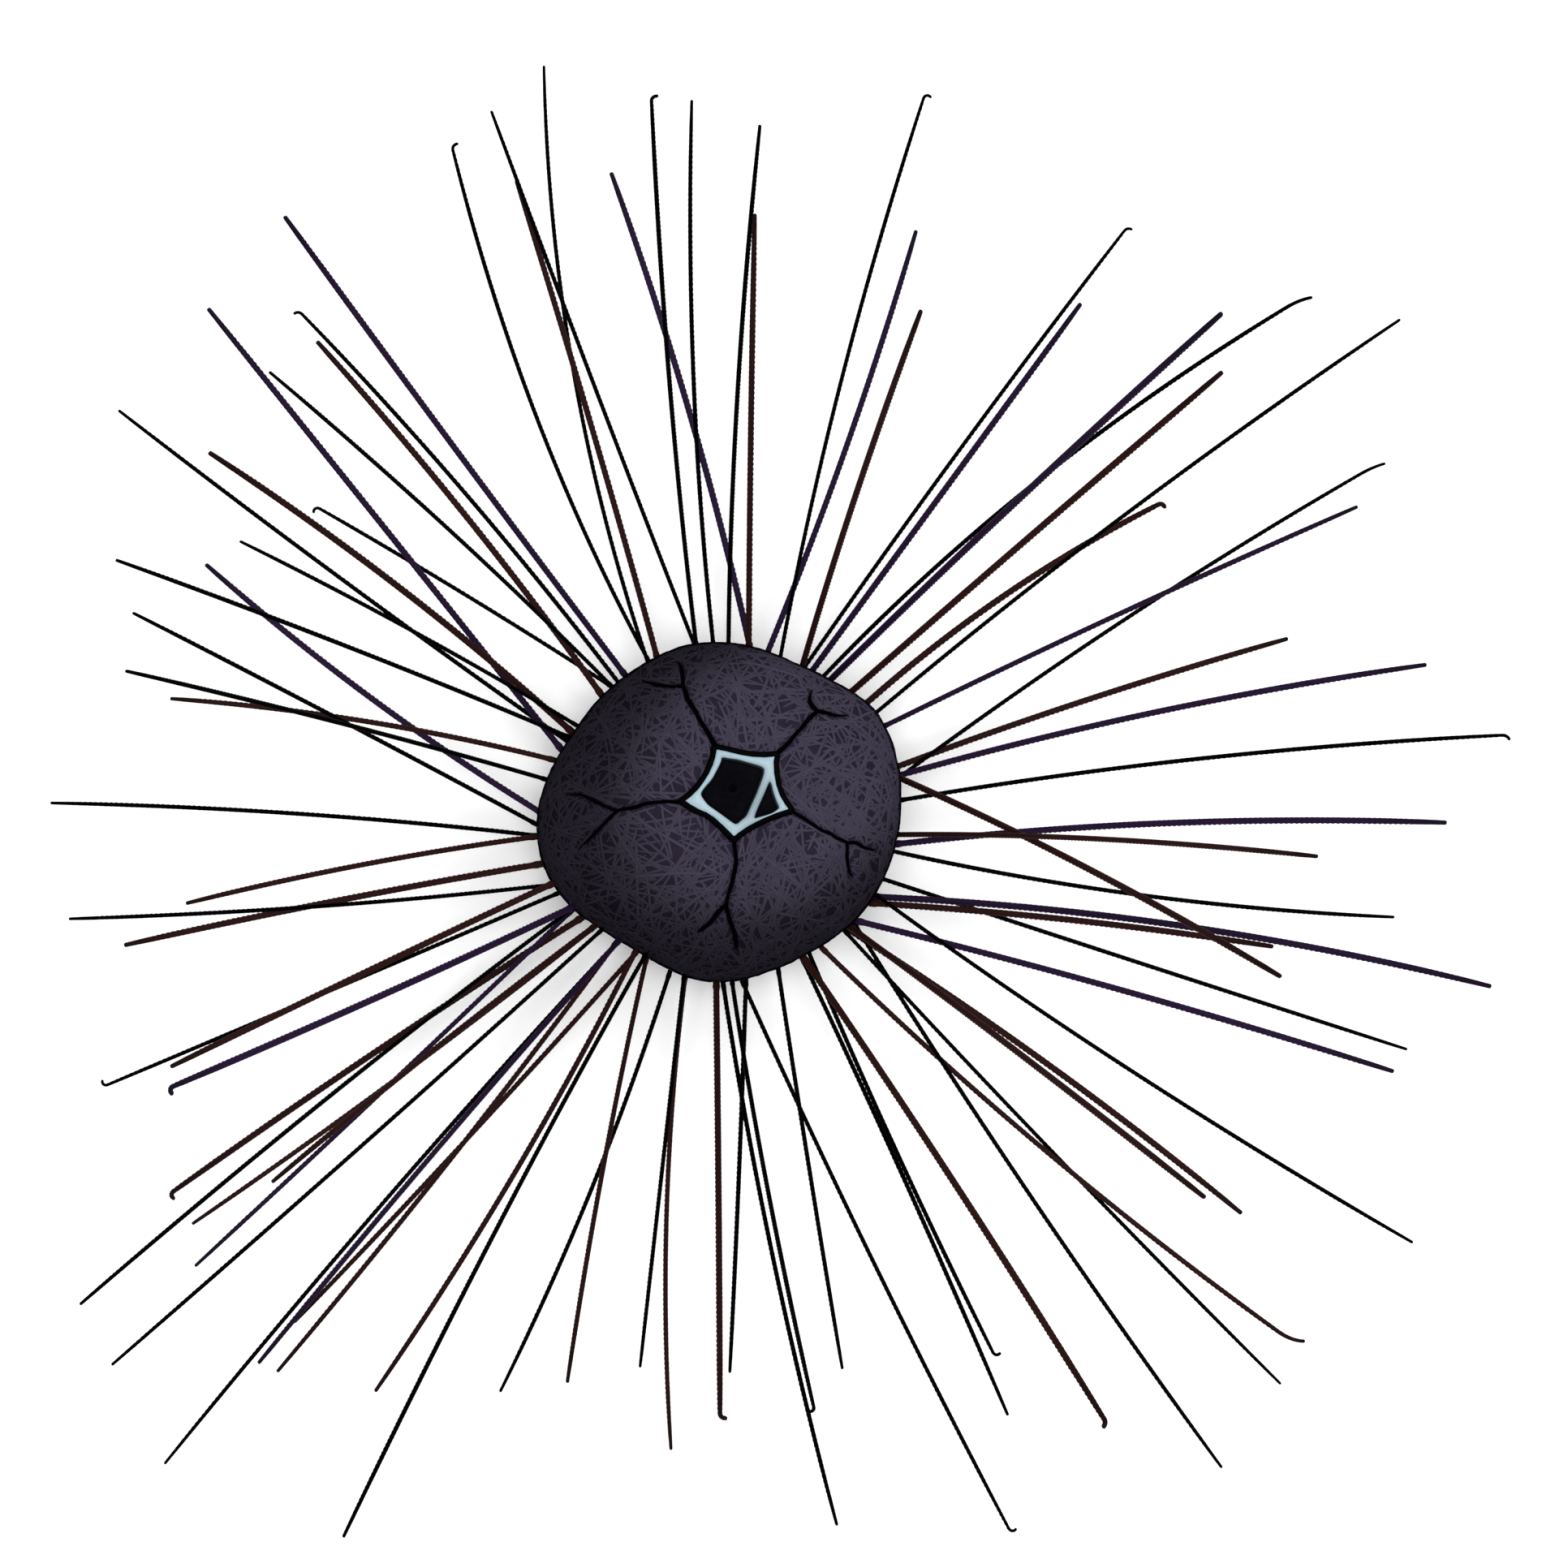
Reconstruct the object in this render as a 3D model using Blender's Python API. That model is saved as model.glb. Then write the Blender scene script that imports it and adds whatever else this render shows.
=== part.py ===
import math

import bpy
import numpy as np
from mathutils import Vector

# A long-spined sea urchin resting on its short oral spines, mouth down, seen best from straight above.
# Lengths are in metres, +Z is up, the top of the photo lies along +Y.

MM = 0.001
SEED = 1552

# Shell
TEST_RADIUS = 35.0 * MM
HEIGHT_ABOVE = 20.0 * MM
HEIGHT_BELOW = 14.5 * MM
ROUNDNESS = 2.5
AMBITUS_HEIGHT = 25.5 * MM
LEAN_X = 0.205
LEAN_Y = 0.230
MIDDLE_X = 12.14 * MM
MIDDLE_Y = 5.27 * MM
OUTLINE_WAVES = (
    (1, 0.020, 27.0), (2, 0.0455, 6.9), (3, 0.009, -56.0),
    (4, 0.026, 12.0), (5, 0.012, -30.6), (6, 0.011, 26.0),
)

# Sectors
FIRST_MIDLINE = 45.6
SECTOR_STEP = 72.0
INTER_HALF = 24.0
PART_GAP = 0.3 * MM
# Points of the star: azimuth, distance from its middle in mm, hollow of the side that follows in mm
STAR_POINTS = (
    (43.7, 10.4, 0.6), (117.0, 10.0, 1.4), (191.0, 11.6, 0.9), (263.1, 9.5, 0.6), (337.1, 11.2, 1.4),
)
PERISTOME_RADIUS = 11.5 * MM
RIM_WIDTH = 1.9 * MM
RIM_DEPTH = 1.2 * MM
MEMBRANE_DROP = 0.5 * MM
BAR_OFFSET = 4.2 * MM
BAR_TURN = -22.5
BAR_WIDTH = 1.6 * MM
CORE_SPLIT = -1.0 * MM

# Cracks along the middle of each interambulacrum, forked like a Y: degrees off the midline at the star,
# then share of the radius and degrees off the midline at the fork and at the two ends
CRACK_HALF_WIDTH = 0.5 * MM
CRACK_START = 0.25
CRACKS = (
    (-1.9, 0.66, 0.1, 0.78, 8.3, 0.77, -10.3),
    (-0.6, 0.73, -0.9, 0.89, 8.0, 0.89, -7.2),
    (1.4, 0.65, -1.1, 0.89, 8.8, 0.90, -11.9),
    (1.5, 0.66, 3.4, 0.90, 10.9, 0.85, -6.4),
    (3.5, 0.70, 2.1, 0.88, 6.8, 0.82, -7.6),
)

# Long spines: how far the tips lie from the middle of the shell, as seen from VIEW_HEIGHT above it,
# one mean reach in mm for every 15 degrees of azimuth
VIEW_HEIGHT = 0.9
REACH_BY_AZIMUTH = (
    141, 142, 143, 143, 134, 133, 139, 143, 140, 131, 125, 124,
    125, 128, 139, 148, 145, 129, 125, 133, 145, 150, 145, 139,
)
REACH_SPREAD = 14.0 * MM
REACH_LEAST = 105.0 * MM
REACH_BOX = (-135.0 * MM, 160.5 * MM, -147.0 * MM, 151.0 * MM)
LONGEST = 168.0 * MM
SPINE_GAP = 0.4 * MM
FLOOR_GAP = 2.2 * MM
LEAST_LEAVING = 0.55
LEAST_RISE = -12.0
SUNK = 2.35 * MM
BLACK_SPINE = 0.55 * MM
COLOURED_SPINE = 0.80 * MM
SPINE_PLACES = ((0.0, 1.0), (0.22, 0.93), (0.45, 0.82), (0.68, 0.68), (0.88, 0.45), (1.0, 0.0))

# Rows of tubercles: height angle on the shell, rise of the spine over the horizontal,
# azimuths of its two tubercles off the midline, turn of the row's tips, all in degrees
INTER_ROWS = (
    (20.0, 54.0, -17.5, 17.5, 2.0),
    (10.0, 38.0, -6.5, 6.5, 16.0),
    (0.0, 21.0, -18.0, 18.0, -6.0),
    (-11.0, 7.0, -6.5, 6.5, 9.0),
    (-23.0, -3.0, -17.5, 17.5, -13.0),
)
AMB_ROWS = (
    (16.0, 47.0, -5.5, 5.5, -10.0),
    (5.0, 29.0, -6.0, 6.0, 12.5),
    (-7.0, 12.0, -5.5, 5.5, -2.0),
    (-19.0, 1.0, -6.0, 6.0, 5.5),
)
TIP_OFFSET = 18.0

# Short oral spines that carry the animal: height angle, azimuth off the midline, outward run of the tip
INTER_PROPS = (
    (-36.0, -15.0, 0.30), (-36.0, 1.0, 0.30), (-36.0, 15.0, 0.30),
    (-50.0, -9.0, 0.22), (-50.0, 9.0, 0.22),
)
AMB_PROPS = ((-42.0, -5.0, 0.26), (-42.0, 5.5, 0.26), (-56.0, 0.0, 0.18))
PROP_RADIUS = 0.62 * MM
PROP_FOOT = 0.50 * MM

# Mouth
MOUTH_RADIUS = 4.4 * MM
MOUTH_ROOF = -11.2 * MM
LIP_HEIGHT = -14.7 * MM
DISC_EDGE = -14.0 * MM
TOOTH_RINGS = ((-11.5, 0.5, 3.0), (-14.2, 0.5, 2.5), (-16.3, 0.45, 0.95))

rng = np.random.default_rng(SEED)


def outline(azimuth, share=1.0):
    waves = sum(size * math.cos(k * (azimuth - math.radians(peak))) for k, size, peak in OUTLINE_WAVES)
    return TEST_RADIUS * (1.0 + share * waves)


def leaned(x, y, z):
    return Vector((x + LEAN_X * z, y + LEAN_Y * z, z + AMBITUS_HEIGHT))


def shell_rz(azimuth, angle):
    flat = abs(math.cos(angle)) ** (2.0 / ROUNDNESS)
    tall = abs(math.sin(angle)) ** (2.0 / ROUNDNESS)
    height = HEIGHT_ABOVE if angle > 0.0 else HEIGHT_BELOW
    return flat * outline(azimuth, flat), math.copysign(height * tall, angle)


def shell_point(azimuth, angle):
    r, z = shell_rz(azimuth, angle)
    return leaned(r * math.cos(azimuth), r * math.sin(azimuth), z)


def shell_level(point):
    z = point[2] - AMBITUS_HEIGHT
    x = point[0] - LEAN_X * z
    y = point[1] - LEAN_Y * z
    r = math.hypot(x, y)
    tall = abs(z) / (HEIGHT_ABOVE if z > 0.0 else HEIGHT_BELOW)
    flat = max(0.0, 1.0 - min(1.0, tall) ** ROUNDNESS) ** (1.0 / ROUNDNESS)
    return (r / outline(math.atan2(y, x), flat)) ** ROUNDNESS + tall ** ROUNDNESS


def shell_normal(point):
    step = 0.05 * MM
    slopes = []
    for axis in range(3):
        ahead = point.copy()
        behind = point.copy()
        ahead[axis] += step
        behind[axis] -= step
        slopes.append(shell_level(ahead) - shell_level(behind))
    return Vector(slopes).normalized()


def angle_at(azimuth, radius, above):
    low, high = 0.0, 0.5 * math.pi
    for _ in range(40):
        middle = 0.5 * (low + high)
        if shell_rz(azimuth, middle if above else -middle)[0] > radius:
            low = middle
        else:
            high = middle
    return low if above else -low


def star_radius(azimuth, grow=0.0):
    turn = (math.degrees(azimuth) - STAR_POINTS[0][0]) % 360.0 + STAR_POINTS[0][0]
    for number, (start, near, bow) in enumerate(STAR_POINTS):
        end, far, _ = STAR_POINTS[(number + 1) % 5]
        end += 360.0 if number == 4 else 0.0
        if turn <= end:
            break
    share = (turn - start) / (end - start)
    rise = near * math.sin(math.radians(turn - start)) + far * math.sin(math.radians(end - turn))
    chord = near * far * math.sin(math.radians(end - start)) / rise
    return (chord - bow * 4.0 * share * (1.0 - share)) * MM + grow


def new_object(name, vertices, faces):
    mesh = bpy.data.meshes.new(name)
    mesh.from_pydata([tuple(v) for v in vertices], [], faces)
    mesh.validate()
    mesh.update()
    obj = bpy.data.objects.new(name, mesh)
    bpy.context.scene.collection.objects.link(obj)
    return obj


def painted(obj, colour, roughness, metallic=0.0):
    material = bpy.data.materials.new(obj.name)
    material.use_nodes = True
    shader = material.node_tree.nodes["Principled BSDF"]
    shader.inputs["Base Color"].default_value = (*colour, 1.0)
    shader.inputs["Roughness"].default_value = roughness
    shader.inputs["Metallic"].default_value = metallic
    obj.data.materials.clear()
    obj.data.materials.append(material)
    obj.data.polygons.foreach_set("use_smooth", [True] * len(obj.data.polygons))
    return obj


def rings_body(rings, closed_tip=False):
    """Vertices and faces of a body lofted through rings of equal count; the last may be one point."""
    count = len(rings[0])
    vertices = [v for ring in rings for v in ring]
    faces = [tuple(reversed(range(count)))]
    whole = len(rings) - (1 if closed_tip else 0)
    for i in range(whole - 1):
        for j in range(count):
            k = (j + 1) % count
            faces.append((i * count + j, i * count + k, (i + 1) * count + k, (i + 1) * count + j))
    if closed_tip:
        tip = whole * count
        base = (whole - 1) * count
        faces += [(base + j, base + (j + 1) % count, tip) for j in range(count)]
    else:
        base = (whole - 1) * count
        faces.append(tuple(base + j for j in range(count)))
    return vertices, faces


def boolean(obj, pieces, operation, solver="EXACT"):
    tools = bpy.data.collections.new("tools")
    bpy.context.scene.collection.children.link(tools)
    for piece in pieces:
        for owner in list(piece.users_collection):
            owner.objects.unlink(piece)
        tools.objects.link(piece)
        piece.hide_render = True
        piece.display_type = "WIRE"
    modifier = obj.modifiers.new("join", "BOOLEAN")
    modifier.operation = operation
    modifier.operand_type = "COLLECTION"
    modifier.collection = tools
    modifier.solver = solver
    bpy.context.view_layer.update()
    held = obj.evaluated_get(bpy.context.evaluated_depsgraph_get())
    mesh = bpy.data.meshes.new_from_object(held)
    obj.modifiers.clear()
    obj.data = mesh
    for piece in list(tools.objects):
        bpy.data.objects.remove(piece, do_unlink=True)
    bpy.data.collections.remove(tools)


def sector_body(middle, half):
    """One sector of the shell, solid from the outer wall to the star above and the mouth disc below."""
    columns = max(3, round(half / 4.0))
    middle, half = math.radians(middle), math.radians(half)
    rings = []
    centres = with_star_points([middle + half * (2.0 * i / columns - 1.0) for i in range(columns + 1)])
    for centre in centres:
        share = (centre - middle) / half
        top = angle_at(centre, star_radius(centre, PART_GAP), True)
        low = angle_at(centre, PERISTOME_RADIUS + PART_GAP, False)
        wall = []
        for angle in np.linspace(low, top, 17):
            wall.append(shell_rz(centre, angle))
        top_r, low_r = wall[-1][0], wall[0][0]
        wall += [(top_r, CORE_SPLIT), (low_r, CORE_SPLIT)]
        ring = []
        for r, z in wall:
            azimuth = centre - share * math.asin(0.5 * PART_GAP / r)
            ring.append(leaned(r * math.cos(azimuth), r * math.sin(azimuth), z))
        rings.append(list(reversed(ring)))
    return rings_body(rings)


def with_star_points(azimuths):
    """The azimuths with the ones next to the star's points moved onto them."""
    moved = sorted(azimuths)
    low, high = moved[0], moved[-1]
    for degrees, _, _ in STAR_POINTS:
        point = math.radians(degrees)
        point += 2.0 * math.pi * round((0.5 * (low + high) - point) / (2.0 * math.pi))
        if low < point < high:
            nearest = min(range(1, len(moved) - 1), key=lambda i: abs(moved[i] - point))
            moved[nearest] = point
    return moved


def disc_rings(heights_radii, count):
    rings = []
    azimuths = with_star_points([2.0 * math.pi * i / count for i in range(count)])
    for z, radius in heights_radii:
        ring = []
        for azimuth in azimuths:
            r = radius(azimuth) if callable(radius) else radius
            height = z(azimuth) if callable(z) else z
            ring.append(leaned(r * math.cos(azimuth), r * math.sin(azimuth), height))
        rings.append(ring)
    return rings


def segment_gaps(p1, q1, p2, q2):
    """Least distances between segments p1-q1 and p2-q2, row by row."""
    d1, d2, r = q1 - p1, q2 - p2, p1 - p2
    a = np.einsum("ij,ij->i", d1, d1)
    e = np.einsum("ij,ij->i", d2, d2)
    f = np.einsum("ij,ij->i", d2, r)
    c = np.einsum("ij,ij->i", d1, r)
    b = np.einsum("ij,ij->i", d1, d2)
    spread = np.maximum(a * e - b * b, 1e-18)
    s = np.clip((b * f - c * e) / spread, 0.0, 1.0)
    t = np.clip((b * s + f) / e, 0.0, 1.0)
    s = np.clip((b * t - c) / a, 0.0, 1.0)
    return np.linalg.norm(p1 + s[:, None] * d1 - p2 - t[:, None] * d2, axis=1)


class Thicket:
    """The spines set so far, as segments with radii, and whether a new one runs clear of them."""

    def __init__(self):
        self.starts = np.zeros((0, 3))
        self.ends = np.zeros((0, 3))
        self.radii = np.zeros(0)

    def clear(self, path, radii):
        if not len(self.starts):
            return True
        path = np.array(path)
        count = len(self.starts)
        for i in range(len(path) - 1):
            start = np.repeat(path[i:i + 1], count, 0)
            end = np.repeat(path[i + 1:i + 2], count, 0)
            gaps = segment_gaps(start, end, self.starts, self.ends)
            if (gaps - self.radii - radii[i]).min() < SPINE_GAP:
                return False
        return True

    def add(self, path, radii):
        path = np.array(path)
        self.starts = np.vstack([self.starts, path[:-1]])
        self.ends = np.vstack([self.ends, path[1:]])
        self.radii = np.concatenate([self.radii, radii[:-1]])


def outside_shell(path):
    for start, end in zip(path[2:-1], path[3:]):
        for share in (0.0, 0.25, 0.5, 0.75, 1.0):
            if shell_level(start.lerp(end, share)) < 1.04:
                return False
    leaving = (path[2] - path[1]).normalized().dot(shell_normal(path[1]))
    return leaving > LEAST_LEAVING and shell_level(path[1].lerp(path[2], 0.3)) > 1.04


def reach_at(azimuth):
    place = (math.degrees(azimuth) % 360.0) / 15.0
    low = int(place) % 24
    mean = REACH_BY_AZIMUTH[low] + (REACH_BY_AZIMUTH[(low + 1) % 24] - REACH_BY_AZIMUTH[low]) * (place % 1.0)
    reach = max(mean * MM + rng.normal(0.0, REACH_SPREAD), REACH_LEAST)
    x, y = math.cos(azimuth), math.sin(azimuth)
    left, right, down, up = REACH_BOX
    return min(reach, (right if x > 0.0 else left) / x, (up if y > 0.0 else down) / y)


def long_spine(azimuth, angle, rise, tip_azimuth, looseness):
    """Centre line of one long spine from under the shell out to its tip."""
    root = shell_point(azimuth, angle)
    normal = shell_normal(root)
    turn = rng.normal(0.0, 4.0) if rng.random() > 0.07 else rng.choice((-1.0, 1.0)) * rng.uniform(12.0, 22.0)
    target = tip_azimuth + math.radians(turn * looseness)
    target += (1.0 - looseness) * 0.5 * (azimuth - target)
    lift = rise + rng.normal(0.0, 4.0)
    reach = reach_at(target)
    seen = Vector((reach * math.cos(target), reach * math.sin(target), 0.0))
    flat_root = Vector((root.x, root.y, 0.0))
    length = LONGEST
    while True:
        climb, run = math.sin(math.radians(lift)), math.cos(math.radians(lift))
        for _ in range(12):
            away = seen * (1.0 - (length * climb + root.z - AMBITUS_HEIGHT) / VIEW_HEIGHT) - flat_root
            length = away.length / run
        if length <= LONGEST or lift < LEAST_RISE:
            break
        lift -= 1.5
    direction = (away.normalized() * run + Vector((0.0, 0.0, climb))).normalized()
    side = direction.cross(Vector((0.0, 0.0, 1.0))).normalized()
    bow = side * (length * rng.normal(0.0, 0.024)) + side.cross(direction) * (length * rng.normal(0.006, 0.01))
    hook = side * (length * rng.choice((-1.0, 1.0)) * 0.03) if rng.random() < 0.22 else Vector()
    path = [root - (normal + direction).normalized() * SUNK]
    for share, _ in SPINE_PLACES:
        bent = bow * (4.0 * share * (1.0 - share)) + hook * share ** 10
        path.append(root + direction * (length * share) + bent)
    return path


def spine_radii(base):
    return [base] + [base * part for _, part in SPINE_PLACES]


def spine_mesh(path, radii, sides=4):
    """A thin body swept along its centre line, ending in a point."""
    rings = []
    upright = abs((path[-1] - path[1]).normalized().z) > 0.9
    reference = Vector((1.0, 0.0, 0.0)) if upright else Vector((0.0, 0.0, 1.0))
    for i, point in enumerate(path):
        tangent = (path[min(i + 1, len(path) - 1)] - path[max(i - 1, 0)]).normalized()
        across = tangent.cross(reference).normalized()
        over = across.cross(tangent)
        if radii[i] <= 0.0:
            rings.append([point])
            continue
        turns = [2.0 * math.pi * (j + 0.5) / sides for j in range(sides)]
        rings.append([point + (across * math.cos(t) + over * math.sin(t)) * radii[i] for t in turns])
    vertices, faces = rings_body([list(r) for r in rings], closed_tip=len(rings[-1]) == 1)
    return new_object("spine", vertices, [tuple(reversed(f)) for f in faces])


def prop_path(azimuth, angle, run):
    """A short oral spine from the underside down to the floor."""
    root = shell_point(azimuth, angle)
    normal = shell_normal(root)
    heading = azimuth + math.radians(rng.normal(0.0, 7.0))
    out = root.z * run * rng.uniform(0.85, 1.15)
    foot = Vector((root.x + out * math.cos(heading), root.y + out * math.sin(heading), 0.0))
    middle = root.lerp(foot, 0.5) + Vector((math.cos(heading), math.sin(heading), 0.0)) * (0.04 * root.z)
    return [root - normal * SUNK, root, middle, foot]


def prop_mesh(path):
    """An oral spine whose foot is a small flat on the floor."""
    radii = (PROP_RADIUS, PROP_RADIUS, PROP_RADIUS * 0.9, PROP_FOOT)
    rings = []
    for point, radius in zip(path, radii):
        turns = [2.0 * math.pi * (j + 0.5) / 5 for j in range(5)]
        rings.append([point + Vector((math.cos(t), math.sin(t), 0.0)) * radius for t in turns])
    vertices, faces = rings_body(rings)
    return new_object("prop", vertices, [tuple(reversed(f)) for f in faces])


def crack_tools(number, middle):
    """The Y-shaped crack of one interambulacrum as three swept bars along the surface."""
    start_a, fork_r, fork_a, left_r, left_a, right_r, right_a = CRACKS[number]

    def spot(share, off):
        azimuth = math.radians(middle + off)
        return shell_point(azimuth, angle_at(azimuth, share * outline(azimuth), True))

    def bar(points, sides=6):
        rings = []
        for i, point in enumerate(points):
            tangent = (points[min(i + 1, len(points) - 1)] - points[max(i - 1, 0)]).normalized()
            across = tangent.cross(shell_normal(point)).normalized()
            over = across.cross(tangent)
            radius = CRACK_HALF_WIDTH * (1.25 if i < len(points) - 1 else 0.8)
            turns = [2.0 * math.pi * (j + 0.5) / sides for j in range(sides)]
            rings.append([point + (across * math.cos(t) + over * math.sin(t)) * radius for t in turns])
        vertices, faces = rings_body(rings)
        return new_object("crack", vertices, [tuple(reversed(f)) for f in faces])

    stem = []
    for s in (0.0, 0.25, 0.5, 0.75, 1.0):
        off = start_a + (fork_a - start_a) * s + 1.6 * math.sin(6.0 * s) * (1.0 - s)
        stem.append(spot(CRACK_START + (fork_r - CRACK_START) * s, off))
    bars = [bar(stem)]
    for end_r, end_a in ((left_r, left_a), (right_r, right_a)):
        elbow = spot(0.5 * (fork_r + end_r), fork_a + 0.62 * (end_a - fork_a))
        bars.append(bar([spot(fork_r - 0.02, fork_a), elbow, spot(end_r, end_a)]))
    return bars


def largest_body(obj):
    """Keeps only the largest closed surface of a mesh."""
    mesh = obj.data
    owner = list(range(len(mesh.vertices)))

    def top(i):
        while owner[i] != i:
            owner[i] = owner[owner[i]]
            i = owner[i]
        return i

    for edge in mesh.edges:
        a, b = top(edge.vertices[0]), top(edge.vertices[1])
        owner[a] = b
    sizes = {}
    for polygon in mesh.polygons:
        key = top(polygon.vertices[0])
        sizes[key] = sizes.get(key, 0) + polygon.area
    best = max(sizes, key=sizes.get)
    kept = [v.index for v in mesh.vertices if top(v.index) == best]
    place = {old: new for new, old in enumerate(kept)}
    vertices = [mesh.vertices[i].co.copy() for i in kept]
    faces = [tuple(place[v] for v in p.vertices) for p in mesh.polygons if top(p.vertices[0]) == best]
    fresh = bpy.data.meshes.new(obj.name)
    fresh.from_pydata([tuple(v) for v in vertices], [], faces)
    fresh.update()
    obj.data = fresh


def all_spines():
    """Every spine of every sector: a dict of sector name to lists of props and long spines."""
    thicket = Thicket()
    sectors = []
    for n in range(5):
        sectors.append((f"interambulacrum_{n + 1}", FIRST_MIDLINE + SECTOR_STEP * n, True))
        sectors.append((f"ambulacrum_{n + 1}", FIRST_MIDLINE + SECTOR_STEP * (n + 0.5), False))
    found = {name: ([], []) for name, _, _ in sectors}
    for name, middle, inter in sectors:
        for angle, off, run in INTER_PROPS if inter else AMB_PROPS:
            path = prop_path(math.radians(middle + off), math.radians(angle), run)
            thicket.add(path, [PROP_RADIUS] * 4)
            found[name][0].append(path)
    rows = max(len(INTER_ROWS), len(AMB_ROWS))
    for row in reversed(range(rows)):
        for name, middle, inter in sectors:
            table = INTER_ROWS if inter else AMB_ROWS
            if row >= len(table):
                continue
            angle, rise, low_off, high_off, tip_turn = table[row]
            for off, tip_off in ((low_off, -TIP_OFFSET), (high_off, TIP_OFFSET)):
                coloured = rng.random() < (0.72 if inter else 0.15)
                radii = spine_radii((COLOURED_SPINE if coloured else BLACK_SPINE) * rng.uniform(0.92, 1.08))
                tone = (1 if rng.random() < 0.62 else 2) if coloured else 0
                tip_azimuth = math.radians(middle + tip_off + tip_turn)
                for attempt in range(120):
                    azimuth = math.radians(middle + off + rng.uniform(-1.4, 1.4))
                    height = math.radians(angle + rng.uniform(-2.0, 2.0))
                    path = long_spine(azimuth, height, rise, tip_azimuth, 1.0 if attempt < 60 else 0.5)
                    lowest = min(point.z for point in path[1:])
                    if lowest > FLOOR_GAP and outside_shell(path) and thicket.clear(path[1:], radii[1:]):
                        thicket.add(path[1:], radii[1:])
                        found[name][1].append((path, radii, tone))
                        break
    return sectors, found


def dome(azimuth, radius):
    """Height of the upper shell over the level of its widest place."""
    share = min(1.0, radius / outline(azimuth, radius / TEST_RADIUS))
    return HEIGHT_ABOVE * (1.0 - share ** ROUNDNESS) ** (1.0 / ROUNDNESS)


def half_space(side, height):
    """A block that covers all that lies beyond the bar on one side, and the bar's own slab for side 0."""
    turn = math.radians(BAR_TURN)
    out = Vector((math.cos(turn), math.sin(turn), 0.0))
    along = Vector((-out.y, out.x, 0.0))
    if side == 0:
        near, far = BAR_OFFSET - 0.5 * BAR_WIDTH, BAR_OFFSET + 0.5 * BAR_WIDTH
    else:
        near = BAR_OFFSET + side * (0.5 * BAR_WIDTH + PART_GAP)
        far = near + side * 0.03
    rings = []
    for z in (-height, height):
        ends = ((near, -0.03), (far, -0.03), (far, 0.03), (near, 0.03))
        ring = [out * across + along * down for across, down in ends]
        ring = [leaned(v.x, v.y, z + HEIGHT_ABOVE) for v in ring]
        rings.append(ring if side >= 0 else list(reversed(ring)))
    vertices, faces = rings_body(rings)
    return new_object("block", vertices, faces)


def apical_bodies():
    """The pale star with its sunken floor, the bar across it and the two dark fields of membrane."""
    inner = -RIM_WIDTH
    turns = [math.radians(a) for a in range(0, 360, 6)]
    floor = min(dome(a, star_radius(a, inner)) for a in turns) - RIM_DEPTH
    star = disc_rings(
        (
            (CORE_SPLIT, star_radius),
            (lambda a: dome(a, star_radius(a)), star_radius),
            (lambda a: dome(a, star_radius(a)) + 0.35 * MM, lambda a: star_radius(a, 0.4 * inner)),
            (lambda a: dome(a, star_radius(a)) + 0.1 * MM, lambda a: star_radius(a, inner)),
            (floor, lambda a: star_radius(a, inner)),
        ),
        72,
    )
    vertices, faces = rings_body(star)
    bodies = [painted(new_object("apical_star", vertices, faces), (0.4, 0.52, 0.6), 0.4)]
    fields = (
        ("periproct", -1, MEMBRANE_DROP, (0.004, 0.004, 0.01)),
        ("star_bar", 0, -0.25 * MM, (0.4, 0.52, 0.6)),
        ("periproct_corner", 1, MEMBRANE_DROP, (0.004, 0.004, 0.01)),
    )
    for name, side, drop, colour in fields:
        top = floor + RIM_DEPTH - drop
        plate = disc_rings(
            (
                (floor + PART_GAP, lambda a: star_radius(a, inner - PART_GAP)),
                (top, lambda a: star_radius(a, inner - PART_GAP)),
                (top + (0.3 * MM if side == -1 else 0.0), lambda a: 0.6 * star_radius(a, inner)),
            ),
            60,
        )
        vertices, faces = rings_body(plate)
        body = new_object(name, vertices, faces)
        boolean(body, [half_space(side, 0.02)], "INTERSECT")
        largest_body(body)
        bodies.append(painted(body, colour, 0.35))
    return bodies


def mouth_bodies():
    """The leathery disc round the mouth and the five teeth in it."""
    rings = disc_rings(
        (
            (MOUTH_ROOF, 0.9 * MOUTH_RADIUS),
            (LIP_HEIGHT, MOUTH_RADIUS),
            (LIP_HEIGHT - 0.15 * MM, MOUTH_RADIUS + 0.8 * MM),
            (DISC_EDGE - 0.2 * MM, MOUTH_RADIUS + 2.4 * MM),
            (DISC_EDGE, PERISTOME_RADIUS),
            (CORE_SPLIT - PART_GAP, PERISTOME_RADIUS),
        ),
        40,
    )
    vertices, faces = rings_body(rings)
    bodies = [painted(new_object("peristome", vertices, faces), (0.05, 0.035, 0.05), 0.6)]
    slope = math.tan(math.radians(0.5 * SECTOR_STEP))
    inset = 0.5 * PART_GAP / math.cos(math.radians(0.5 * SECTOR_STEP))
    for n in range(5):
        turn = math.radians(FIRST_MIDLINE + SECTOR_STEP * n)
        out = Vector((math.cos(turn), math.sin(turn)))
        along = Vector((-out.y, out.x))
        rings = []
        for z, near, far in TOOTH_RINGS:
            corners = []
            for r, side in ((near, -1.0), (far, -1.0), (far, 1.0), (near, 1.0)):
                wide = (r * MM * slope - inset) * (0.85 if r > 0.6 else 0.7)
                spot = out * (r * MM) + along * (wide * side)
                corners.append(leaned(spot.x, spot.y, z * MM))
            rings.append(list(reversed(corners)))
        vertices, faces = rings_body(rings)
        bodies.append(painted(new_object(f"tooth_{n + 1}", vertices, faces), (0.75, 0.7, 0.6), 0.3))
    return bodies


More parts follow.
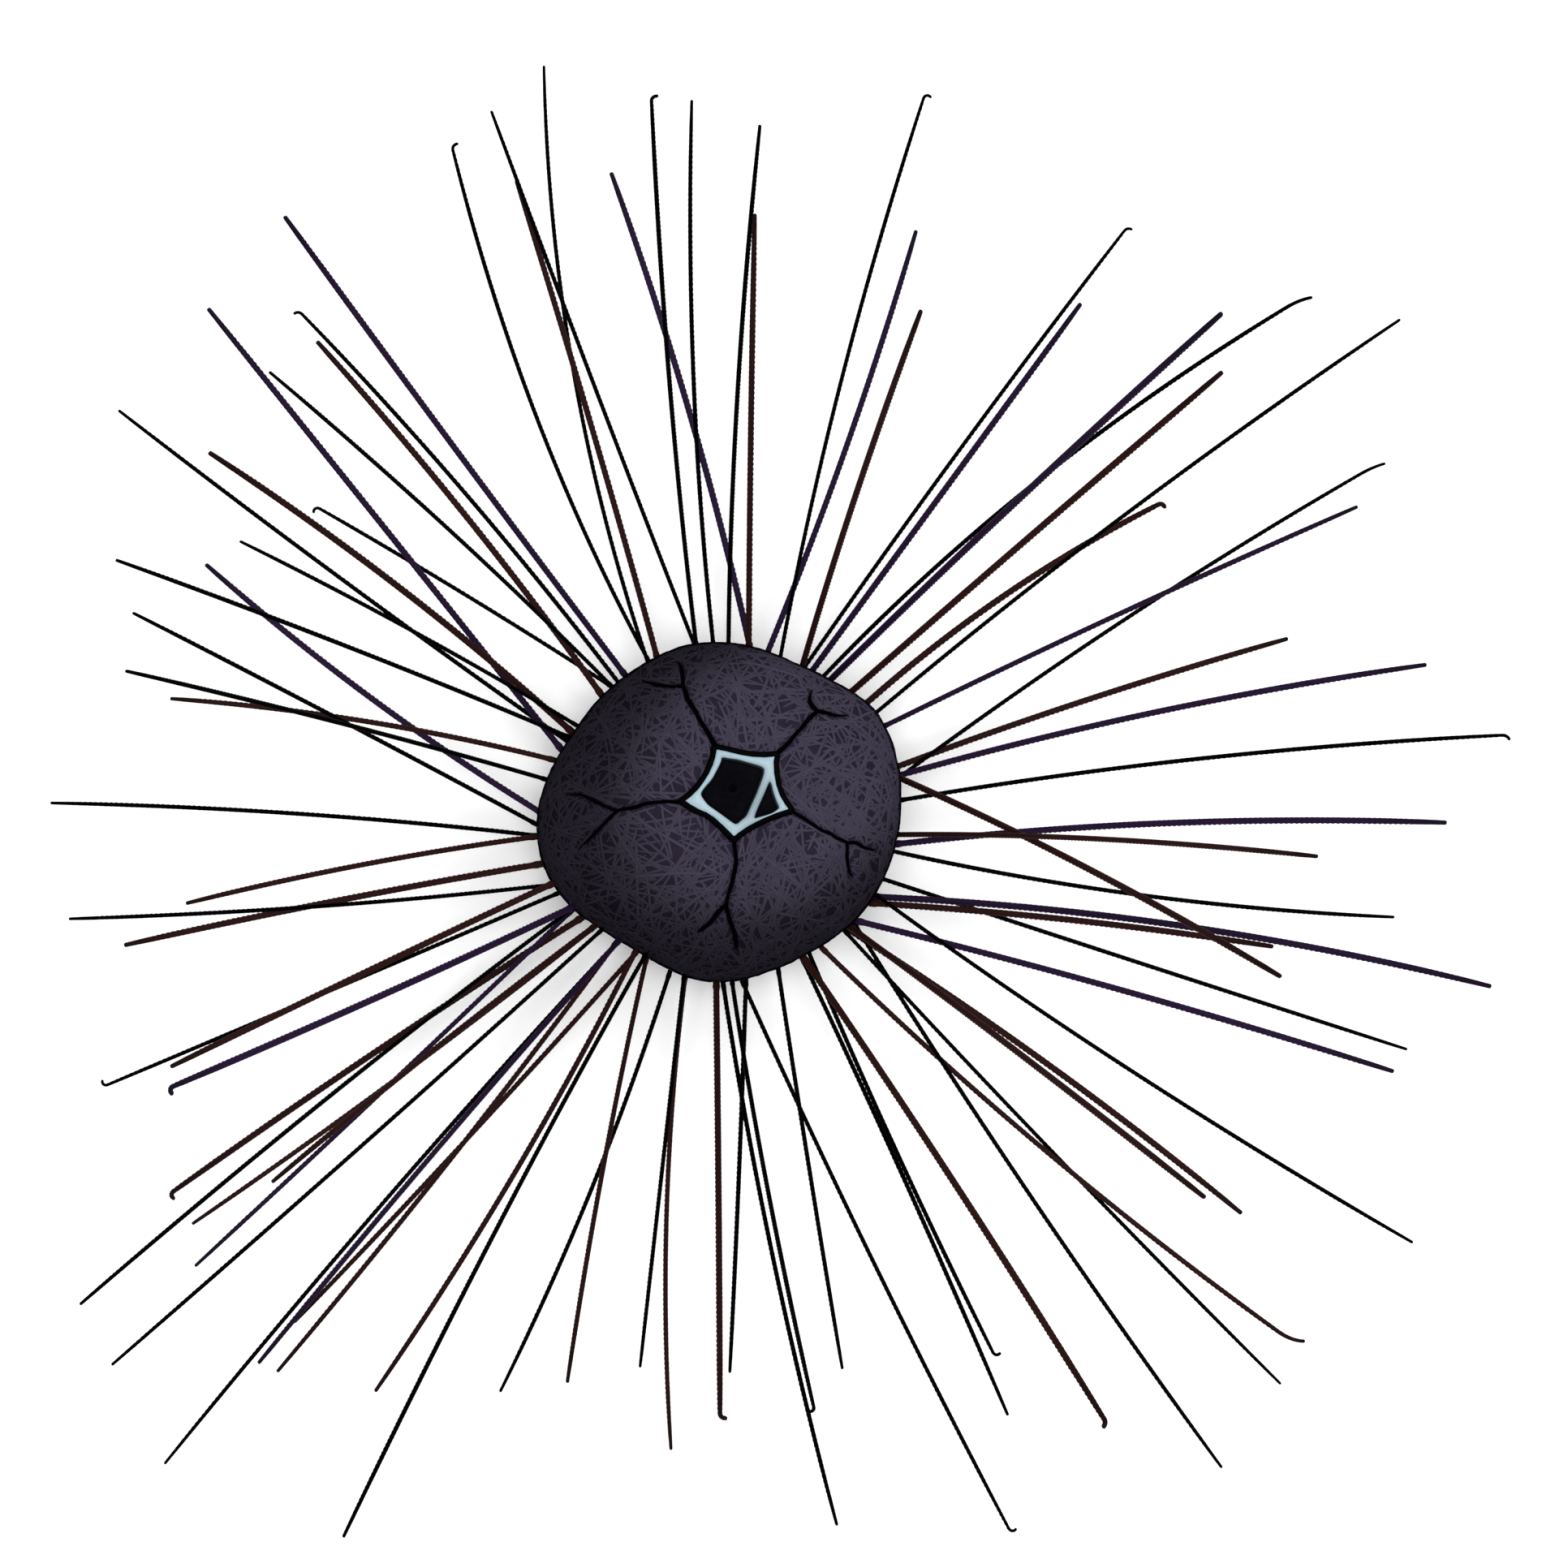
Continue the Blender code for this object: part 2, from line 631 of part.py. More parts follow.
def settle(bodies):
    """Stands the middle of the animal's box over the origin and hangs every piece on one parent."""
    whole = bpy.data.objects.new("sea_urchin", None)
    bpy.context.scene.collection.objects.link(whole)
    for body in bodies:
        corners = [v.co for v in body.data.vertices]
        low = Vector([min(c[i] for c in corners) for i in range(3)])
        high = Vector([max(c[i] for c in corners) for i in range(3)])
        middle = 0.5 * (low + high)
        for vertex in body.data.vertices:
            vertex.co -= middle
        body.data.update()
        body.location = middle - Vector((MIDDLE_X, MIDDLE_Y, 0.0))
        body.parent = whole


def build():
    for obj in list(bpy.data.objects):
        bpy.data.objects.remove(obj, do_unlink=True)
    sectors, found = all_spines()
    bodies = []
    for number, (name, middle, inter) in enumerate(sectors):
        vertices, faces = sector_body(middle, INTER_HALF if inter else 0.5 * SECTOR_STEP - INTER_HALF)
        body = new_object(name, vertices, faces)
        props, spines = found[name]
        pieces = [prop_mesh(path) for path in props]
        pieces += [spine_mesh(path, radii) for path, radii, _ in spines]
        boolean(body, pieces, "UNION")
        if inter:
            boolean(body, crack_tools(number // 2, middle), "DIFFERENCE")
        largest_body(body)
        bodies.append(painted(body, (0.045, 0.04, 0.06) if inter else (0.03, 0.028, 0.045), 0.5))

    bodies += apical_bodies()
    bodies += mouth_bodies()
    settle(bodies)


build()
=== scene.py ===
import math
from itertools import product

import bpy
import numpy as np
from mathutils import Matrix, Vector
from mathutils.kdtree import KDTree


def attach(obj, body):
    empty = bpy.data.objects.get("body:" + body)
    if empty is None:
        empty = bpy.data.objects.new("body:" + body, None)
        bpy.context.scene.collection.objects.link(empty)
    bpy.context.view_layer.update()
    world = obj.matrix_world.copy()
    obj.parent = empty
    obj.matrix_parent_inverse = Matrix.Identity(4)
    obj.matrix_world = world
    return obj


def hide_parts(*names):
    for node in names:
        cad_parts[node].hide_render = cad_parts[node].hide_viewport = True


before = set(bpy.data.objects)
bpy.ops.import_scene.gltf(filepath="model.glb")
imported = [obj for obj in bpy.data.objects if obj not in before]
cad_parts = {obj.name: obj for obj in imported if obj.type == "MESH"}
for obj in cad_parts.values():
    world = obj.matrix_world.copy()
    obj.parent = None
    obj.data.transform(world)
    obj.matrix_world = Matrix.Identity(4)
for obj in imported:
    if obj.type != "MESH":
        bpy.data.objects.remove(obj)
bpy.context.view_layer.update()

MM = 0.001
# Seeds of the random draws; the first is the solids' own
SEED = 1552
NET_SEED = 417
SPINE_SEED = 77
BUMP_SEED = 55
ORAL_SEED = 303
FEET_SEED = 808
MOUTH_SEED = 606

# Shell, as in the solids
TEST_RADIUS = 35.0 * MM
HEIGHT_ABOVE = 20.0 * MM
HEIGHT_BELOW = 14.5 * MM
ROUNDNESS = 2.5
AMBITUS_HEIGHT = 25.5 * MM
LEAN_X = 0.205
LEAN_Y = 0.230
MIDDLE_X = 12.14 * MM
MIDDLE_Y = 5.27 * MM
OUTLINE_WAVES = (
    (1, 0.020, 27.0), (2, 0.0455, 6.9), (3, 0.009, -56.0),
    (4, 0.026, 12.0), (5, 0.012, -30.6), (6, 0.011, 26.0),
)
FIRST_MIDLINE = 45.6
SECTOR_STEP = 72.0
NARROW_MIDDLES = [FIRST_MIDLINE + SECTOR_STEP * (n + 0.5) for n in range(5)]
PERISTOME_RADIUS = 11.5 * MM
# Height of the camera over the shell's widest level
VIEW_HEIGHT = 0.9
PIXEL = 0.165 * MM
# The shell's own middle in the frame
HERE = np.array([-MIDDLE_X, -MIDDLE_Y, 0.0])
TAU = 2.0 * math.pi
UP = np.array([0.0, 0.0, 1.0])
# A way that no small tube runs along, to turn its rings by
ASIDE = np.array([0.31, 0.95, 0.02])

# Oral spines that stand on the floor, as in the solids: height angle, azimuth off the midline, run outwards
INTER_PROPS = (
    (-36.0, -15.0, 0.30), (-36.0, 1.0, 0.30), (-36.0, 15.0, 0.30),
    (-50.0, -9.0, 0.22), (-50.0, 9.0, 0.22),
)
AMB_PROPS = ((-42.0, -5.0, 0.26), (-42.0, 5.5, 0.26), (-56.0, 0.0, 0.18))
PROP_RADIUS = 0.62 * MM

# Long spines: azimuth of the tip as seen from above, its reach in mm, azimuth and height angle of the root,
# rise over the horizontal, sideways bow in mm, kind, and turn of a hooked tip; angles in degrees
LONG_SPINES = (
    (5.6, 162, 3.9, -1, 22.9, 1.9, 0, -80), (11.8, 147, 12.2, -7, 17.8, 1.9, 2, 0),
    (17, 121, 15.6, -23.1, 0.4, 1, 1, 0), (25.6, 144, 27.8, -1, 22, 0.6, 4, 0),
    (27.9, 153, 10.4, -16.7, 2.4, 1.9, 0, -15), (34.9, 111, 36.7, -10.2, 4.1, 2.6, 1, -130),
    (35.9, 171, 32.4, -1, 29.2, 1.8, 0, 0), (41.2, 136, 42.8, -1, 40.6, 0.2, 1, 0),
    (41.3, 160, 53.1, -0.5, 37.2, 4.2, 0, -20), (44.8, 144, 50.6, -0.5, 56, 0.6, 2, 0),
    (54.6, 127, 56.7, -14.5, 27.8, 0, 2, 0), (55.1, 146, 59.4, -23.5, -2, 0.8, 0, -100),
    (68.1, 110, 60, -1, 53, 0.7, 1, 0), (71.3, 125, 72.5, -17, 1.4, -1.3, 2, 0),
    (74, 153, 68, -1, 31.4, 2, 0, -150), (86.6, 122, 79.3, -1.2, 16.9, 0.2, 1, 0),
    (86.6, 140, 86.5, -1, 50.4, 1.2, 0, 0), (92.2, 145, 90.9, -6.9, 13.1, 1.9, 0, 0),
    (95.4, 147, 97.7, -0.5, 51.5, 1, 0, -110), (99.6, 132, 74.7, -20.4, 3.1, -1.7, 2, 0),
    (103.2, 156, 112.5, -23.3, 1.4, 5, 0, 0), (107.8, 135, 110.4, -9.4, 11.5, -0.5, 1, 0),
    (108, 150, 96.9, -7.2, 34.4, 0.3, 0, 0), (111.8, 147, 114.7, -1, 39.1, 3.5, 0, -110),
    (126.1, 150, 124.1, -1, 41.7, 0.3, 2, 0), (130, 134, 123.9, -24.7, -3, -1.6, 0, 100),
    (130.5, 126, 134.8, -1, 18.3, -1.3, 1, 0), (135.4, 146, 156.8, -9, 15.3, -0.1, 2, 0),
    (135.6, 128, 130.1, -1, 51.4, -1, 0, 0), (142.9, 104, 128.6, -9, 9, -0.5, 0, 150),
    (144.8, 127, 151, -1.5, 29.2, -1.8, 1, 0), (146.2, 147, 152.2, -19.4, 0.4, 0.7, 0, 0),
    (150.5, 112, 148.4, -0.5, 39.4, -0.8, 0, 0), (154.2, 116, 178.3, -23.4, -2.1, 1.9, 2, 0),
    (157.3, 133, 151.5, -10.2, 41.8, -0.7, 0, 0), (161.2, 126, 183.6, -1, 31.2, -0.3, 0, 0),
    (166.6, 124, 169, -1, 61.1, -0.6, 0, 0), (168.3, 114, 161, -8.2, 14.8, -1.7, 3, 0),
    (179.2, 136, 185.6, -19.5, 5.9, -1.2, 0, 0), (189.3, 134, 202.8, -9.8, 34.3, 1, 0, 0),
    (189.7, 110, 187.4, -1, 30.2, -1, 3, 0), (192.6, 124, 195.3, -10.3, 9.3, -0.6, 1, 0),
    (204, 138, 205.5, -21.9, -6.3, 0.1, 0, -150), (204.9, 123, 203.2, -1, 17.6, -0.2, 1, 0),
    (206.6, 126, 213, -1, 44.8, 0.5, 2, 145), (214.8, 137, 217, -17.1, -5.4, -0.7, 1, 150),
    (217.6, 164, 213, -6.6, 48.4, -1.1, 0, 0), (218, 136, 222.5, -8.4, 8.4, 0.9, 3, 0),
    (219.6, 118, 222.4, -2, 38.1, -0.6, 3, 0), (220.9, 141, 213, -15.1, 8.2, 0.3, 4, 0),
    (222.3, 167, 225.1, -1.6, 29, 0.4, 0, 0), (229.6, 174, 232.1, -17.7, 7.5, -1.2, 0, 0),
    (230.1, 146, 232.2, -1, 48, -0.6, 4, 0), (230.2, 135, 240.5, -24.5, -3.8, 0.5, 3, 0),
    (231.7, 145, 231.7, -5.6, 12.6, 0.9, 3, 0), (239.3, 137, 239, -1, 15, 1.8, 3, 0),
    (242.6, 166, 242.7, -0.5, 48.7, -1.1, 0, 0), (249.3, 126, 253.6, -9.1, -0.5, 1.8, 0, 0),
    (255.1, 120, 243.8, -6.1, 41.9, -0.8, 3, 0), (261.9, 114, 258, -1, 39.9, 0, 0, 0),
    (265.7, 130, 260.2, -22.8, -8, -2.4, 3, 0), (270.1, 124, 269.7, -4.3, 39.8, 0.1, 1, 120),
    (271.1, 114, 280, -5.2, 21, 0.2, 0, 0), (279.1, 124, 274.5, -0.5, 58, -0.8, 0, -150),
    (279.4, 147, 271.5, -1, 22.1, -1.5, 0, 0), (282.5, 116, 292.9, -13.2, 10.3, -0.2, 0, 0),
    (292.1, 159, 279.2, -11.1, 2.6, -1, 0, 140), (295.6, 136, 301, -7.1, 21.6, 0.5, 0, 0),
    (296.9, 125, 306.6, -22.2, -7.2, -0.8, 0, 140), (302.4, 148, 300.5, -1, 39.2, 0.7, 1, -90),
    (307.5, 168, 322, -5.6, 11.8, -1.3, 0, 0), (314.5, 163, 318.7, -10.9, 6.6, -0.7, 0, 0),
    (317.4, 161, 308.3, -5.4, 6.6, -2.5, 3, 35), (321.6, 126, 319.4, -2, 58, 0.4, 1, 0),
    (322.5, 134, 320.6, -20.2, 2.9, 1.6, 1, 0), (328.2, 166, 332.5, -0.5, 38.7, -1.7, 0, 0),
    (339, 147, 321.9, -0.5, 20.1, 1, 2, 0), (341, 148, 341, -23.5, -1.7, -0.1, 0, 0),
    (343.7, 119, 11.7, -1, 48.7, 1.3, 1, 0), (346.4, 116, 329.6, -3.1, 16, 1, 1, 0),
    (347.3, 161, 332.4, -6.8, 6.1, 3.2, 2, 0), (351.2, 139, 350.1, -19, 0.9, -2.4, 0, 0),
    (355.8, 122, 353.5, -4.4, 56.8, 1.2, 3, 0), (359.2, 148, 349.9, -1.1, 26.8, 2.1, 2, 0),
)
SPINE_RADII = (0.44 * MM, 0.645 * MM, 0.645 * MM, 0.52 * MM, 0.51 * MM)
SPINE_COLOURS = ("black", "brown", "purple", "brown", "purple")


def unit(v):
    """The vectors, made one long."""
    return v / np.linalg.norm(v, axis=-1, keepdims=True)


def ray(azimuth):
    """The level unit vector at an azimuth."""
    return np.array([math.cos(azimuth), math.sin(azimuth), 0.0])


def held(values):
    """The values, held between 0 and 1."""
    return np.clip(values, 0.0, 1.0)


def bell(away, width):
    """One at no distance, falling smoothly to nothing."""
    return np.exp(-(away / width) ** 2)


def segment_gaps(p1, q1, p2, q2):
    """Least distances between segments p1-q1 and p2-q2, row by row."""
    d1, d2, r = q1 - p1, q2 - p2, p1 - p2
    a = np.einsum("ij,ij->i", d1, d1)
    e = np.einsum("ij,ij->i", d2, d2)
    f = np.einsum("ij,ij->i", d2, r)
    c = np.einsum("ij,ij->i", d1, r)
    b = np.einsum("ij,ij->i", d1, d2)
    spread = np.maximum(a * e - b * b, 1e-18)
    s = held((b * f - c * e) / spread)
    t = held((b * s + f) / e)
    s = held((b * t - c) / a)
    return np.linalg.norm(p1 + s[:, None] * d1 - p2 - t[:, None] * d2, axis=1)


class Thicket:
    """The thin forms set so far, as segments with radii."""

    def __init__(self):
        self.starts, self.ends, self.radii = np.zeros((0, 3)), np.zeros((0, 3)), np.zeros(0)

    def gap(self, path, radius):
        """The least gap that a new path leaves to those set so far."""
        size = (len(self.starts), 1)
        gaps = [segment_gaps(np.tile(start, size), np.tile(end, size), self.starts, self.ends) - self.radii
                for start, end in zip(path, path[1:])]
        return np.min(gaps) - radius

    def add(self, path, radius):
        self.starts = np.vstack([self.starts, path[:-1]])
        self.ends = np.vstack([self.ends, path[1:]])
        self.radii = np.append(self.radii, np.full(len(path) - 1, radius))


# Mesh kit

# Side of the square on the map that each small form takes
PATCH = 0.003


class Heap:
    """Vertices and faces of many small forms, joined into one mesh."""

    def __init__(self):
        self.points, self.faces, self.uvs, self.marks, self.count = [], [], [], {}, 0

    def add(self, points, faces, uvs, **marks):
        """faces: index arrays (n, 3) or (n, 4); uvs: arrays to match; marks: one value, or one per point."""
        self.points.append(points)
        self.faces += [face + self.count for face in faces]
        self.uvs += uvs
        for name, values in marks.items():
            self.marks.setdefault(name, []).append(np.broadcast_to(values, len(points)))
        self.count += len(points)
        return self

    def strip(self, lines, corner, size, **marks):
        """An open strip from the points of its lines, which run side by side."""
        grid = np.stack(lines, 1)
        rows, columns = grid.shape[:2]
        self.add(grid.reshape(-1, 3), [grid_faces(rows, columns)[:, ::-1]],
                 [grid_patch(rows, columns, corner, size)[:, ::-1]], **marks)

    def build(self, name, material, slot, replaced):
        """The joined mesh, as one piece of the scene."""
        def put(data, field, values, kind=np.float32):
            data.foreach_set(field, np.asarray(values, kind).ravel())

        loops = np.concatenate([face.ravel() for face in self.faces])
        sizes = np.concatenate([np.full(len(face), face.shape[1]) for face in self.faces])
        mesh = bpy.data.meshes.new(name)
        mesh.vertices.add(self.count)
        mesh.loops.add(len(loops))
        mesh.polygons.add(len(sizes))
        put(mesh.vertices, "co", np.vstack(self.points) + HERE)
        put(mesh.loops, "vertex_index", loops, np.int32)
        put(mesh.polygons, "loop_start", np.append(0, np.cumsum(sizes)[:-1]), np.int32)
        put(mesh.polygons, "loop_total", sizes, np.int32)
        put(mesh.polygons, "use_smooth", np.ones(len(sizes)), bool)
        uvs = np.concatenate([uv.reshape(-1, 2) for uv in self.uvs])
        put(mesh.uv_layers.new(name="OFBake").data, "uv", uvs)
        for mark, values in self.marks.items():
            put(mesh.attributes.new(mark, "FLOAT", "POINT").data, "value", np.concatenate(values))
        mesh.update(calc_edges=True)
        mesh.validate()
        mesh.materials.append(material)
        obj = bpy.data.objects.new(name, mesh)
        bpy.context.scene.collection.objects.link(obj)
        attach(obj, "root")
        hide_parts(*replaced)


def grid_faces(rows, columns, closed=False):
    """Quads over a grid of points in row order; closed joins the last column to the first."""
    i, j = np.meshgrid(np.arange(rows - 1), np.arange(columns if closed else columns - 1), indexing="ij")
    near, far, k = i * columns, (i + 1) * columns, (j + 1) % columns
    return np.stack([near + j, near + k, far + k, far + j], -1).reshape(-1, 4)


def grid_patch(rows, columns, corner, size, closed=False):
    """UVs that spread the same quads over one small square."""
    across = columns if closed else columns - 1
    i, j = np.meshgrid(np.arange(rows - 1), np.arange(across), indexing="ij")
    u = np.stack([j, j + 1, j + 1, j], -1) / across - 0.5
    v = np.stack([i, i, i + 1, i + 1], -1) / (rows - 1) - 0.5
    return (np.stack([u, v], -1) * size + np.asarray(corner)).reshape(-1, 4, 2)


def fan_faces(first, sides, hub):
    """Triangles that join a closed ring of points, numbered from first, to one hub point."""
    j = np.arange(sides)
    return np.stack([first + j, first + (j + 1) % sides, np.full(sides, hub)], -1)


def fan_patch(sides, corner, size):
    """UVs for such a fan."""
    j = np.arange(sides)
    u = np.stack([j, j + 1, j + 0.5], -1) / sides - 0.5
    v = np.tile([-0.5, -0.5, 0.5], (sides, 1))
    return np.stack([u, v], -1) * size + np.asarray(corner)


def tube(heap, centres, radii, sides, corner, ripple=1.0, reference=ASIDE, shares=None, grounded=False,
         **marks):
    """A closed body swept along centres; ripple scales its radius by ring and side, and shares go to the
    mark named along. Grounded sets the last ring and the hubs of both end fans on the floor."""
    rows = len(centres)
    last = (rows - 1) * sides
    onward = unit(np.gradient(centres, axis=0))
    across = unit(np.cross(onward, reference))
    over = np.cross(across, onward)
    turns = (TAU * np.arange(sides) / sides)[None, :, None]
    ring = np.cos(turns) * across[:, None] + np.sin(turns) * over[:, None]
    wide = radii[:, None] * ripple * np.ones(sides)
    rings = (centres[:, None] + wide[..., None] * ring).reshape(-1, 3)
    points = np.vstack([rings, centres[:1], centres[-1:]])
    if grounded:
        points[last:, 2] = 0.0
    if shares is not None:
        marks["along"] = np.append(np.repeat(shares, sides), [0.0, 1.0])
    fan = fan_patch(sides, corner, PATCH)
    heap.add(points, [grid_faces(rows, sides, True), fan_faces(0, sides, last + sides)[:, ::-1],
                      np.roll(fan_faces(last, sides, last + sides + 1), 1, axis=1)],
             [grid_patch(rows, sides, corner, PATCH, True), fan, fan], **marks)


# Shell surface, by azimuth and height angle in radians

# Height angle at the middle of the unwrap, and the angle that it spans, in degrees
UNWRAP_TOP = 84.0
UNWRAP_SPAN = 162.0


def waves_at(azimuth):
    return sum(size * np.cos(k * (azimuth - math.radians(peak))) for k, size, peak in OUTLINE_WAVES)


def leaned(x, y, z):
    """Points of the upright shell moved to its leaning pose, z from its widest level."""
    return np.stack([x + LEAN_X * z, y + LEAN_Y * z, z + AMBITUS_HEIGHT], -1)


def shell(azimuth, angle):
    """Points of the bare shell."""
    flat = np.abs(np.cos(angle)) ** (2.0 / ROUNDNESS)
    tall = np.abs(np.sin(angle)) ** (2.0 / ROUNDNESS)
    z = np.where(np.asarray(angle) > 0.0, HEIGHT_ABOVE, -HEIGHT_BELOW) * tall
    r = flat * TEST_RADIUS * (1.0 + flat * waves_at(azimuth))
    return leaned(r * np.cos(azimuth), r * np.sin(azimuth), z)


def shell_out(azimuth, angle):
    """Outward unit normals of the shell."""
    step = 0.012
    along = shell(azimuth + step, angle) - shell(azimuth - step, angle)
    return unit(np.cross(along, shell(azimuth, angle + step) - shell(azimuth, angle - step)))


# Star, in plan, in mm from the shell's own middle

PALE_EDGE = (
    (7.1, 6.7), (5.0, 6.5), (2.5, 6.6), (0.1, 7.0), (-2.6, 7.7), (-4.6, 8.1), (-4.9, 6.5), (-5.4, 4.9),
    (-6.2, 3.2), (-7.3, 1.4), (-8.3, 0.1), (-9.6, -1.2), (-10.9, -2.2), (-9.8, -3.0), (-8.1, -4.0),
    (-6.5, -4.7), (-5.0, -5.7), (-3.9, -6.7), (-2.4, -8.1), (-1.1, -9.4), (0.1, -8.5), (1.4, -7.6),
    (3.4, -6.5), (5.3, -5.6), (7.5, -4.7), (10.0, -3.9), (9.2, -2.9), (8.1, -1.1), (7.4, 0.9), (7.0, 3.2),
    (6.9, 5.4),
)
LEFT_FIELD = (
    (-3.5, 6.5), (-1.9, 6.2), (-0.3, 6.0), (1.7, 5.4), (3.8, 4.8), (4.7, 4.4), (5.0, 3.9), (4.7, 2.5),
    (4.0, 0.7), (3.3, -1.1), (2.5, -2.8), (1.9, -4.2), (1.4, -5.3), (0.4, -6.1), (-0.6, -7.0), (-1.6, -6.4),
    (-3.2, -5.2), (-4.9, -4.0), (-6.2, -3.1), (-7.0, -2.1), (-7.6, -1.2), (-7.6, -0.5), (-6.7, 0.7),
    (-5.5, 2.0), (-4.7, 3.5), (-3.9, 5.0), (-3.6, 5.8),
)
RIGHT_FIELD = (
    (6.0, 1.7), (6.4, 1.1), (6.7, -0.4), (7.3, -2.1), (8.0, -3.5), (7.6, -4.0), (6.5, -4.7), (5.0, -5.2),
    (3.8, -5.5), (2.9, -5.8), (3.3, -4.4), (4.2, -2.4), (5.0, -0.6), (5.5, 0.6),
)
# Width of the black outline round the star
CORD_WIDTH = 0.84 * MM
CIRCLE = np.linspace(0.0, TAU, 1441)


def polar_radius(polygon, azimuths):
    """How far a polygon round the middle reaches at each azimuth."""
    corners = np.asarray(polygon) * MM
    reach = np.zeros(len(azimuths))
    x, y = np.cos(azimuths), np.sin(azimuths)
    for (ax, ay), (bx, by) in zip(corners, np.roll(corners, -1, axis=0)):
        ex, ey = bx - ax, by - ay
        spread = x * ey - y * ex
        spread = np.where(np.abs(spread) < 1e-12, 1e-12, spread)
        far, share = (ax * ey - ay * ex) / spread, (ax * y - ay * x) / spread
        reach = np.where((share >= 0.0) & (share <= 1.0) & (far > 0.0), np.maximum(reach, far), reach)
    return reach


PALE_TURNS = polar_radius(PALE_EDGE, CIRCLE)


def star_at(azimuth):
    """Where the skin begins outside the star's black outline."""
    return np.interp(np.mod(azimuth, TAU), CIRCLE, PALE_TURNS) + 0.72 * CORD_WIDTH


def angle_for(azimuth, radius, above=True):
    """Height angles at which the shell has the given radius."""
    azimuth, radius = np.broadcast_arrays(np.asarray(azimuth, float), radius)
    low, high = np.zeros(azimuth.shape), np.full(azimuth.shape, 0.5 * math.pi)
    waves = waves_at(azimuth)
    for _ in range(40):
        middle = 0.5 * (low + high)
        flat = np.cos(middle) ** (2.0 / ROUNDNESS)
        wide = flat * TEST_RADIUS * (1.0 + flat * waves) > radius
        low, high = np.where(wide, middle, low), np.where(wide, high, middle)
    return low if above else -low


def unwrap(azimuth, angle):
    """The place of a point of the shell on its round unwrap, the star in the middle."""
    reach = 0.04 + 0.45 * held((math.radians(UNWRAP_TOP) - np.asarray(angle)) / math.radians(UNWRAP_SPAN))
    return np.stack([0.5 + reach * np.cos(azimuth), 0.5 + reach * np.sin(azimuth)], -1)


def ripples(points, scale, seed, octaves):
    """Smooth made-up relief, mostly between -1 and 1."""
    draw = np.random.default_rng(seed)
    total, weight = np.zeros(points.shape[:-1]), 0.0
    for octave in range(octaves):
        for _ in range(8):
            way = draw.normal(size=3)
            way *= TAU * 1.9 ** octave * draw.uniform(0.7, 1.4) / (scale * np.linalg.norm(way))
            total += np.sin(points @ way + draw.uniform(0.0, TAU)) * 0.5 ** octave
        weight += 8.0 * 0.5 ** octave
    return total / (0.4 * weight)


# Cracks: a Y for each wide sector, as its stem from the star to the fork and its two branches, in shares of
# the shell's radius and degrees off the midline
CRACK_LINES = (
    (((0.272, -2.3), (0.39, -1.8), (0.518, -0.3), (0.653, 0.0)),
     ((0.673, 4.8), (0.715, 7.1), (0.769, 8.0)), ((0.674, -3.3), (0.697, -7.1), (0.756, -10.6))),
    (((0.262, 1.2), (0.434, 0.9), (0.589, 0.3), (0.717, -1.4)),
     ((0.751, 2.6), (0.821, 7.1), (0.903, 9.2)), ((0.761, -3.6), (0.829, -5.6), (0.88, -6.3))),
    (((0.315, 1.8), (0.45, -1.8), (0.548, -1.2), (0.651, -1.2)),
     ((0.719, 2.7), (0.8, 6.3), (0.878, 8.7)), ((0.745, -6.3), (0.83, -10.5), (0.903, -11.4))),
    (((0.265, 1.7), (0.423, 6.1), (0.553, 4.3), (0.666, 3.0)),
     ((0.748, 6.2), (0.817, 9.0), (0.897, 10.5)), ((0.704, 0.4), (0.784, -2.7), (0.847, -6.4))),
    (((0.3, 4.6), (0.481, 1.6), (0.584, 2.1), (0.682, 2.4)),
     ((0.732, 4.6), (0.797, 4.8), (0.864, 6.6)), ((0.723, -2.8), (0.777, -6.7), (0.823, -7.5))),
)
CRACK_HALF = 0.27 * MM
STEM_WEIGHT = (1.05, 1.3, 0.95, 1.15, 0.95)
BRANCH_WEIGHT = (0.9, 0.95, 0.8, 1.35, 0.95)
BRANCH_TAPER = (0.5, 0.4, 0.5, 0.12, 0.35)


def smooth_line(corners, count):
    """Points along a smooth curve through the corners."""
    corners = np.asarray(corners, float)
    padded = np.vstack([2 * corners[0] - corners[1], corners, 2 * corners[-1] - corners[-2]])
    t = np.linspace(0.0, len(corners) - 1.0, count)
    i = np.minimum(t.astype(int), len(corners) - 2)
    f = (t - i)[:, None]
    p0, p1, p2, p3 = padded[i], padded[i + 1], padded[i + 2], padded[i + 3]
    return 0.5 * (2 * p1 + (p2 - p0) * f + (2 * p0 - 5 * p1 + 4 * p2 - p3) * f ** 2
                  + (3 * p1 - p0 - 3 * p2 + p3) * f ** 3)


def crack_paths():
    """Azimuths, height angles and half widths along every crack."""
    found = []
    for number, parts in enumerate(CRACK_LINES):
        for branch, corners in enumerate(parts):
            line = smooth_line((parts[0][-1], *corners), 30) if branch else smooth_line(corners, 52)
            t = np.linspace(0.0, 1.0, len(line))
            azimuth = np.radians(FIRST_MIDLINE + SECTOR_STEP * number + line[:, 1])
            if branch:
                half = CRACK_HALF * BRANCH_WEIGHT[number] * (1.0 + 0.08 * np.sin(7.0 * t + branch + number))
                half *= held((1.0 - t) / BRANCH_TAPER[number]) ** 0.7
            else:
                azimuth += 0.004 * np.sin(17.0 * t + number)
                half = CRACK_HALF * STEM_WEIGHT[number] * (1.15 - 0.2 * t + 0.10 * np.sin(9.0 * t + number))
            rim = TEST_RADIUS * (1.0 + waves_at(azimuth))
            found.append((azimuth, angle_for(azimuth, line[:, 0] * rim), half))
    return found


